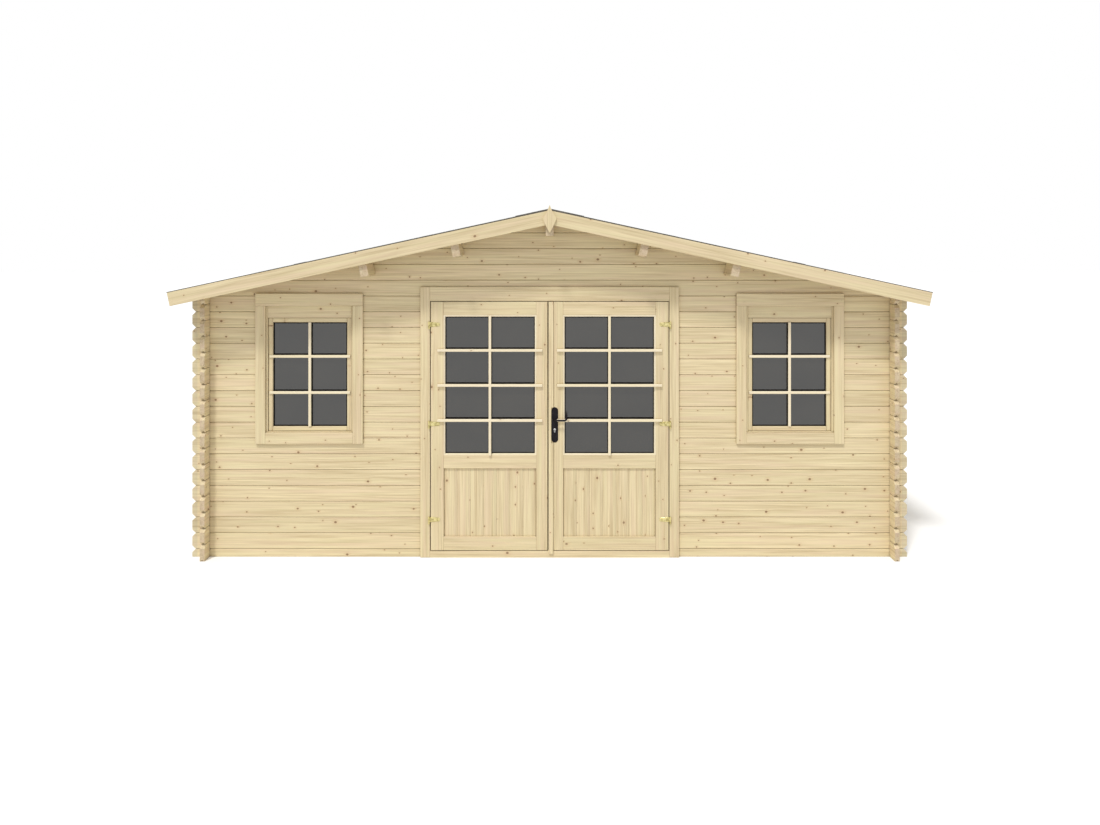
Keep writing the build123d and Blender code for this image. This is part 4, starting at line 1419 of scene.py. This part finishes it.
@dataclass
class DoorLeaf:
    """Bars, beads, black spacer bars with painted shade lines, and boarded panel of one leaf."""

    word: str
    bead: float = 0.0110
    # Width of the black band round the pane, a spacer that also stands in for painted shade at the pane's
    # edge
    spacer: float = 0.0178
    cut: Bars = field(default_factory=lambda: Bars(width=0.0185, proud=0.016, lap=0.045, depth=0.006,
                                                   short=0.001))
    rows: int = 4
    panel_boards: int = 7
    panel_joint: float = 0.0013
    panel_gap: float = 0.0002

    def glazing(self) -> None:
        """Dresses the pane and adds its beads, outside and inside, and its bars outside."""
        body = f"{self.word}_leaf"
        dress(f"{body}_glass", GLASS)
        low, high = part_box(f"{self.word}_leaf_glass")
        face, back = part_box(f"{self.word}_leaf_frame")[0].y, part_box(f"{self.word}_leaf_frame")[1].y
        seed = 960 if self.word == "left" else 990
        beads = Pile(f"{body}_beads", seed)
        for outer, pane in ((face, low.y - CLEAR_GAP), (back, high.y + CLEAR_GAP)):
            sign = 1.0 if outer < pane else -1.0
            top, slant, foot = outer + sign * 0.001, outer + sign * 0.007, pane - sign * 0.002
            outline = [(0.0, top), (self.bead * 0.55, top), (self.bead, slant), (self.bead, foot)]
            outline.append((0.0, foot))
            beads.frame_round((low.x, low.z), (high.x, high.z), outline)
        settle(beads.piece(BEAD_WOOD), body, "door_wood")
        bars = Pile(f"{body}_bars", seed + 10)
        levels = [low.z + i * (high.z - low.z) / self.rows for i in range(1, self.rows)]
        self.cut.add(bars, (low, high), face, levels)
        settle(bars.piece(BEAD_WOOD), body, "door_wood")
        # Black spacer bars, which also paint the shade lines beside the bars and round the pane
        spacers_and_shade(f"{body}_spacers", body, (low, high), levels, self.cut.width / 2, self.spacer)

    def panel(self) -> None:
        """Makes the panel of upright boards with open V joints."""
        node = f"{self.word}_leaf_panel"
        low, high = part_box(node)
        pitch = (high.x - low.x) / self.panel_boards
        size = (high.z - low.z, pitch - self.panel_gap, high.y - low.y)
        place = ((low.x + high.x) / 2, (low.y + high.y) / 2, low.z)
        piece = BOARDS.lay(f"{self.word}_panel_boards", PANEL_WOOD, self.panel_boards, pitch, size,
                           self.panel_joint, place, 1020 if self.word == "left" else 1040, UPRIGHT)
        settle(piece, f"{self.word}_leaf", "door_wood", node)

    def build(self) -> None:
        """Makes the leaf's own parts."""
        self.glazing()
        self.panel()


def joint_place(name: str) -> Vector:
    """A point on the axis of a joint."""
    joint = [joint for joint in frame["joints"] if joint["name"] == name][0]
    return Vector(joint["pos_m"])


@dataclass
class Hinges:
    """The lift-off hinges of one leaf: pin side on the frame, strap side on the leaf."""

    word: str
    knuckle: float = 0.0064
    knuckle_ease: float = 0.0012
    knuckle_rim: float = 0.0004
    knuckle_gap: float = 0.0005
    pin: float = 0.0034
    pin_proud: float = 0.001
    bore_play: float = 0.0003
    ball: float = 0.0046
    stem_half: float = 0.003
    stem_ends: tuple[float, float] = (0.004, 0.010)
    plate: float = 0.0026
    plate_ease: float = 0.0018
    neck: float = 0.0115
    taper: float = 0.26
    tip_cut: float = 0.004
    screw_shares: tuple[float, float] = (0.258, 0.6192)
    screw_radius: float = 0.0038
    screw_rise: float = 0.0009

    def build(self) -> None:
        """Makes the knuckles, straps and screws where the CAD has them."""
        body = f"{self.word}_leaf"
        side = -1 if self.word == "left" else 1
        pins = Pile(f"{self.word}_hinge_lower")
        straps = Pile(f"{self.word}_hinge_upper")
        spots = []
        pin_solids = sorted(solids(f"{self.word}_hinge_pins"), key=lambda pair: pair[0].z)
        strap_solids = sorted(solids(f"{self.word}_hinge_straps"), key=lambda pair: pair[0].z)
        axis = joint_place(f"{self.word}_door")
        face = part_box(f"{self.word}_leaf_frame")[0].y
        for (pin_low, pin_high), (low, high) in zip(pin_solids, strap_solids):
            foot = Vector((axis.x, axis.y, pin_low.z))
            self.pin_side(pins, foot, low.z - pin_low.z - self.knuckle_gap, pin_high.z - pin_low.z, face)
            self.sleeve(straps, high.z - low.z, Vector((axis.x, axis.y, low.z)))
            cap = [(0.0, 0.0), (self.ball, 0.0004), (self.ball, 0.0016), (self.ball * 0.7, 0.0036)]
            cap.append((0.0, 0.0046))
            pins.turned(cap, Vector((axis.x, axis.y, high.z + 0.0006)), unit(2))
            inner = low.x if side > 0 else high.x
            self.strap(straps, side, inner, axis.x, low.z, high.z, face)
            for share in self.screw_shares:
                x = inner + (axis.x - inner) * share
                place = Vector((x, face - self.plate - CLEAR_GAP, (low.z + high.z) / 2))
                spots.append((place, Vector((0, -1, 0))))
        settle(pins.piece(BRASS, TURNED_SMOOTH), "cabin", "brass_hinge", f"{self.word}_hinge_pins")
        settle(straps.piece(BRASS, TURNED_SMOOTH), body, "brass_hinge", f"{self.word}_hinge_straps")
        head = screw_head(self.screw_radius, self.screw_rise)
        screws = STUDS.scatter(f"{self.word}_hinge_screws", spots, head, BRASS, 11 + side)
        settle(screws, body, "brass_hinge")

    def pin_side(self, pile: Pile, foot: Vector, top: float, tip: float, face: float) -> None:
        """Adds the lower knuckle with its pin, and its stem into the door frame.

        Args:
            pile: Where it goes.
            foot: The lowest point of the knuckle, on the pin's axis.
            top: The height of the knuckle.
            tip: The height of the CAD's pin, which this one just covers.
            face: The Y of the leaf's face.
        """
        tip += self.pin_proud
        outline = [(0.0, 0.0), (self.knuckle - self.knuckle_ease, 0.0), (self.knuckle, self.knuckle_ease),
                   (self.knuckle, top - self.knuckle_rim), (self.knuckle - self.knuckle_rim, top),
                   (self.pin, top), (self.pin, tip), (0.0, tip)]
        pile.turned(outline, foot, unit(2))
        low, high = self.stem_ends
        pile.board_between((foot.x - self.stem_half, foot.y, foot.z + low),
                           (foot.x + self.stem_half, face - 0.0002, foot.z + high), 1, 0.0)

    def sleeve(self, pile: Pile, tall: float, foot: Vector, steps: int = 24) -> None:
        """Adds the upper knuckle, a tube about the pin.

        Args:
            pile: Where it goes.
            tall: Its height.
            foot: Its lowest point, on the pin's axis.
            steps: How many flats go round.
        """
        bore = self.pin + self.bore_play
        outline = [(bore, 0.0), (self.knuckle - self.knuckle_rim, 0.0), (self.knuckle, self.knuckle_rim),
                   (self.knuckle, tall - self.knuckle_ease), (self.knuckle - self.knuckle_ease, tall),
                   (bore, tall)]
        shape = bmesh.new()
        rows = []
        for i in range(steps):
            turn = 2 * math.pi * i / steps
            out = Vector((math.cos(turn), math.sin(turn), 0))
            row = [foot + out * radius + unit(2) * height for radius, height in outline]
            rows.append([shape.verts.new(place) for place in row])
        skin(shape, rows + [rows[0]], caps=False)
        pile.take(shape, unit(2), unit(0))

    def strap(self, pile: Pile, side: int, inner: float, outer: float, low: float, high: float,
              face: float) -> None:
        """Adds the tapered plate on the leaf and its neck to the knuckle.

        Args:
            pile: Where it goes.
            side: 1 on the right-hand leaf, -1 on the left-hand one.
            inner: The X of the plate's tip.
            outer: The X of the pin.
            low: The plate's lowest height.
            high: Its highest.
            face: The Y of the leaf's face.
        """
        back = face - CLEAR_GAP
        front = back - self.plate
        edge, shoulder = outer - side * self.neck, inner + side * self.tip_cut
        middle, half = (low + high) / 2, (high - low) / 2
        narrow = half * (1 - self.taper)
        outline = [(edge, middle - half), (edge, middle + half), (shoulder, middle + narrow),
                   (inner, middle + narrow - self.tip_cut), (inner, middle - narrow + self.tip_cut),
                   (shoulder, middle - narrow)]
        shape = bmesh.new()
        skin(shape, [[shape.verts.new((x, y, z)) for x, z in outline] for y in (front, back)])
        bmesh.ops.recalc_face_normals(shape, faces=shape.faces)
        rim = [e for e in shape.edges if all(v.co.y < face - self.plate for v in e.verts)]
        bmesh.ops.bevel(shape, geom=rim, offset=self.plate_ease, segments=3, affect="EDGES")
        pile.take(shape, unit(0), unit(2))
        ends = sorted((edge, outer - side * self.knuckle * 0.6))
        pile.board_between((ends[0], front, low), (ends[1], back, high), 0, 0.0)


@dataclass
class Lock:
    """Plates, cylinder and levers on the right-hand leaf."""

    edge: float = 0.0016
    screw_share: float = 0.80
    screw_radius: float = 0.0042
    screw_rise: float = 0.0007
    plug: float = 0.0050
    stem_half: float = 0.0048
    stem_foot: float = 0.005
    slot_half: tuple[float, float] = (0.0006, 0.0036)
    rod: float = 0.0068
    hub: float = 0.0100
    knob: float = 0.0083
    bend: float = 0.013
    arc_steps: int = 10
    bend_steps: int = 8
    knob_steps: int = 12

    def plates(self) -> None:
        """Makes both plates with round ends and eased edges, and their screws."""
        pile = Pile("lock_cover_plates")
        spots = []
        for low, high in solids("lock_plates"):
            outside = low.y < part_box("right_leaf_frame")[0].y
            front, back = (low.y, high.y) if outside else (high.y, low.y)
            sign = 1.0 if outside else -1.0
            centre = (low + high) / 2
            width, height = (high.x - low.x) / 2, (high.z - low.z) / 2
            layers = ((0.0, back), (0.0, front + sign * self.edge),
                      (self.edge * 0.35, front + sign * self.edge * 0.3), (self.edge * 1.2, front))
            shape = bmesh.new()
            skin(shape, [self.round_ended(shape, centre, width - inset, height - width, y)
                         for inset, y in layers])
            pile.take(shape, unit(2), unit(0))
            for share in (-self.screw_share, self.screw_share):
                spots.append((Vector((centre.x, front, centre.z + share * height)), Vector((0, -sign, 0))))
        settle(pile.piece(BLACK, math.radians(50)), "right_leaf", "lock_black", "lock_plates")
        head = screw_head(self.screw_radius, self.screw_rise)
        settle(STUDS.scatter("lock_screws", spots, head, BLACK, 21), "right_leaf", "lock_black")

    def round_ended(self, shape: Shape, centre: Vector, radius: float, reach: float,
                    y: float) -> list[Vert]:
        """Puts the corners of an upright outline with round ends.

        Args:
            shape: The shape that gets the corners.
            centre: The middle of the outline.
            radius: The radius of both ends.
            reach: How far over and under the middle the ends are centred.
            y: The Y of all the corners.

        Returns:
            The corners, in their order.
        """
        made = []
        for half, sign in ((0, 1), (1, -1)):
            for i in range(self.arc_steps + 1):
                turn = math.pi * (half + i / self.arc_steps)
                x, z = radius * math.cos(turn), reach * sign + radius * math.sin(turn)
                made.append(shape.verts.new((centre.x + x, y, centre.z + z)))
        return made

    def stub(self, radius: float, proud: float) -> list[Point]:
        """The half section of a round end with an eased rim, which stands proud of its plate."""
        return [(radius, -0.001), (radius, proud - 0.0006), (radius - 0.0006, proud), (0.0, proud)]

    def cylinder(self) -> None:
        """Makes the two ends of the key cylinder, with the key's slot, and their black surrounds."""
        low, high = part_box("lock_cylinder")
        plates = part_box("lock_plates")
        radius = (high.x - low.x) / 2
        centre_z = high.z - radius
        x = (low.x + high.x) / 2
        foot = low.z + self.stem_foot
        wide, tall = self.slot_half
        body, slots, rims = Pile("key_cylinder"), Pile("key_slots"), Pile("cylinder_rims")
        for face, plate, sign in ((low.y, plates[0].y, 1.0), (high.y, plates[1].y, -1.0)):
            out = Vector((0, -sign, 0))
            proud = abs(plate - face)
            base = Vector((x, plate, centre_z))
            body.turned(self.stub(radius, proud), base, out, 28)
            plug = [(self.plug, proud - 0.0002), (self.plug, proud + 0.0007)]
            plug += [(self.plug - 0.0005, proud + 0.0011), (0.0, proud + 0.0011)]
            body.turned(plug, base, out)
            near, far = sorted((face, plate))
            body.board_between((x - self.stem_half, near, foot),
                               (x + self.stem_half, far, centre_z), 2, 0.0008)
            body.turned(self.stub(self.stem_half, proud), Vector((x, plate, foot)), out, 20)
            slot_y = face - sign * 0.0013
            near, far = sorted((slot_y, slot_y + sign * 0.0009))
            slots.board_between((x - wide, near, centre_z - tall), (x + wide, far, centre_z + tall), 2, 0.0)
            rim = [(radius + 0.0002, -0.0005), (radius + 0.0026, -0.0005)]
            rim += [(radius + 0.0022, 0.0012), (radius + 0.0002, 0.0016)]
            rims.turned(rim, base, out, 28)
        settle(body.piece(STEEL, TURNED_SMOOTH), "right_leaf", "lock_steel", "lock_cylinder")
        settle(slots.piece(BLACK), "right_leaf", "lock_black")
        settle(rims.piece(BLACK, TURNED_SMOOTH), "right_leaf", "lock_black")

    def levers(self) -> None:
        """Makes the outside and inside levers: a turned hub, a bent round rod and a ball on its tip."""
        centre = joint_place("door_handle")
        low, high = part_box("door_lever")
        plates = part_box("lock_plates")
        hub = [(self.hub, 0.0), (self.hub, 0.004), (self.hub - 0.002, 0.006), (self.rod + 0.0012, 0.009),
               (self.rod, 0.012), (self.rod, 0.016)]
        turns = [math.pi * i / self.knob_steps - math.pi / 2 for i in range(1, self.knob_steps)]
        ball = [(self.knob * math.cos(turn), self.knob * math.sin(turn)) for turn in turns]
        ball = [(0.0, -self.knob), *ball, (0.0, self.knob)]
        ends = (("outside", -1.0, plates[0].y, low.y), ("inside", 1.0, plates[1].y, high.y))
        for word, sign, plate, far in ends:
            start = Vector((centre.x, plate + sign * 0.0005, centre.z))
            out = Vector((0, sign, 0))
            pile = Pile(f"lever_{word}")
            pile.turned(hub, start, out, 28)
            reach = abs(far - start.y) - self.knob
            route = self.route(start, out, reach, high.x - self.knob, high.z - self.knob)
            self.rod_along(pile, route)
            pile.turned(ball, route[-1], unit(2))
            settle(pile.piece(BLACK, math.radians(45)), "lever", "lock_black", "door_lever")

    def route(self, start: Vector, out: Vector, reach: float, tip_x: float, tip_z: float) -> list[Vector]:
        """Finds the middle line of a lever's rod, with its two bends.

        Args:
            start: The middle of the hub's foot.
            out: The direction away from the leaf.
            reach: How far out the rod turns aside.
            tip_x: The X of the tip.
            tip_z: The Z of the tip.

        Returns:
            The points of the line.
        """
        corner = start + out * reach
        side, up = unit(0), unit(2)
        far = Vector((tip_x, corner.y, corner.z))
        line = [start + out * 0.010]
        for middle, a, b in ((corner, out, side), (far, side, up)):
            for i in range(self.bend_steps + 1):
                turn = math.pi / 2 * i / self.bend_steps
                offset = a * (math.sin(turn) - 1) + b * (1 - math.cos(turn))
                line.append(middle + offset * self.bend)
        line.append(Vector((tip_x, corner.y, tip_z)))
        return line

    def rod_along(self, pile: Pile, route: Sequence[Vector], steps: int = 16) -> None:
        """Adds a round rod.

        Args:
            pile: Where it goes.
            route: The points of its middle line.
            steps: How many flats go round.
        """
        shape = bmesh.new()
        rows = []
        side = unit(2)
        for i, place in enumerate(route):
            ahead = (route[min(i + 1, len(route) - 1)] - route[max(i - 1, 0)]).normalized()
            side = (side - ahead * side.dot(ahead)).normalized()
            other = ahead.cross(side)
            turns = [2 * math.pi * k / steps for k in range(steps)]
            spokes = [side * math.cos(turn) + other * math.sin(turn) for turn in turns]
            rows.append([shape.verts.new(place + spoke * self.rod) for spoke in spokes])
        skin(shape, rows)
        pile.take(shape, unit(0), unit(2))

    def build(self) -> None:
        """Makes the lock's parts."""
        self.plates()
        self.cylinder()
        self.levers()


@dataclass
class Studio:
    """Pale floor, white surroundings, soft light and the camera."""

    camera_at: Point = (0.0, -8.10, 2.268)
    lens: float = 27.4
    shift_x: float = 0.0003
    shift_y: float = -0.1523
    sky: float = 0.66
    sun: float = 2.05
    sun_spread: float = math.radians(8)
    sun_way: Point = (0.27, 0.55, -1.02)
    floor_colour: Colour = (0.82, 0.82, 0.82)
    floor_lift: float = 0.14
    floor_reach: float = 60.0

    def surroundings(self) -> None:
        """Lights the cabin evenly, and shows white to the camera, to gloss and through glass."""
        world = bpy.data.worlds.new("studio")
        bpy.context.scene.world = world
        world.use_nodes = True
        world.node_tree.nodes.clear()
        graph = Graph(world.node_tree)
        path = graph.node("ShaderNodeLightPath").outputs
        seen = graph.math("MAXIMUM", path["Is Camera Ray"], path["Is Glossy Ray"])
        seen = graph.math("MAXIMUM", seen, path["Is Transmission Ray"])
        strength = graph.ramp(seen, 0.0, 1.0, self.sky, 1.0)
        back = graph.node("ShaderNodeBackground", {"Color": (1.0, 1.0, 1.0, 1.0), "Strength": strength})
        graph.node("ShaderNodeOutputWorld", {"Surface": back.outputs[0]})

    def ground(self) -> None:
        """Lays the floor, which keeps the cabin's shadow."""
        mesh = bpy.data.meshes.new("floor")
        reach = self.floor_reach
        corners = [(-reach, -reach, 0), (reach, -reach, 0), (reach, reach, 0), (-reach, reach, 0)]
        mesh.from_pydata(corners, [], [(0, 1, 2, 3)])
        floor = show("floor", mesh)
        material, graph, shader = new_material("pale_floor")
        shader.inputs["Base Color"].default_value = (*self.floor_colour, 1.0)
        shader.inputs["Roughness"].default_value = 0.9
        shader.inputs["Specular IOR Level"].default_value = 0.0
        seen = graph.node("ShaderNodeLightPath").outputs["Is Camera Ray"]
        strength = graph.math("MULTIPLY", seen, self.floor_lift)
        lift = graph.node("ShaderNodeEmission", {"Color": (1.0, 1.0, 1.0, 1.0), "Strength": strength})
        both = graph.node("ShaderNodeAddShader", {0: shader.outputs[0], 1: lift.outputs[0]})
        output = [n for n in graph.tree.nodes if n.type == "OUTPUT_MATERIAL"][0]
        graph.feed(output.inputs["Surface"], both.outputs[0])
        mesh.materials.append(material)

    def lamp(self) -> None:
        """Hangs one broad lamp, high on the left in front."""
        data = bpy.data.lights.new("soft_sun", "SUN")
        data.energy = self.sun
        data.angle = self.sun_spread
        made = bpy.data.objects.new("soft_sun", data)
        made.rotation_euler = Vector(self.sun_way).to_track_quat("-Z", "Y").to_euler()
        bpy.context.scene.collection.objects.link(made)

    def camera(self) -> None:
        """Sets up the camera: level, square to the front, with the horizon above the middle."""
        data = bpy.data.cameras.new("front")
        data.lens = self.lens
        data.sensor_width = 36.0
        data.shift_x, data.shift_y = self.shift_x, self.shift_y
        data.clip_end = 200.0
        made = bpy.data.objects.new("front", data)
        made.location = self.camera_at
        made.rotation_euler = (math.pi / 2, 0.0, 0.0)
        bpy.context.scene.collection.objects.link(made)
        bpy.context.scene.camera = made

    def build(self) -> None:
        """Sets up the whole studio."""
        bpy.context.scene.view_settings.view_transform = "Standard"
        self.surroundings()
        self.ground()
        self.lamp()
        self.camera()


def main() -> None:
    """Dresses the cabin from the walls to the lock, and sets up the studio."""
    logging.basicConfig(level=logging.INFO, format="%(message)s")
    Studio().build()
    LogWalls().build()
    Roof().build()
    FloorDeck().build()
    boarded = [BoardedNode("door_trims", "cabin", "trim_wood", 1100)]
    for index, word in enumerate(("left", "right")):
        seed = 1150 + 60 * index
        boarded.append(BoardedNode(f"window_{word}_frame", "cabin", "door_wood", seed))
        boarded.append(BoardedNode(f"window_{word}_sash", "cabin", "door_wood", seed + 10, 0.0035))
        boarded.append(BoardedNode(f"window_{word}_trims", "cabin", "trim_wood", seed + 20))
        boarded.append(BoardedNode(f"{word}_leaf_frame", f"{word}_leaf", "door_wood", seed + 40))
    for node in boarded:
        node.build()
    for word in ("left", "right"):
        Window(word).build()
        DoorLeaf(word).build()
        Hinges(word).build()
    Lock().build()


if __name__ == "__main__":
    main()
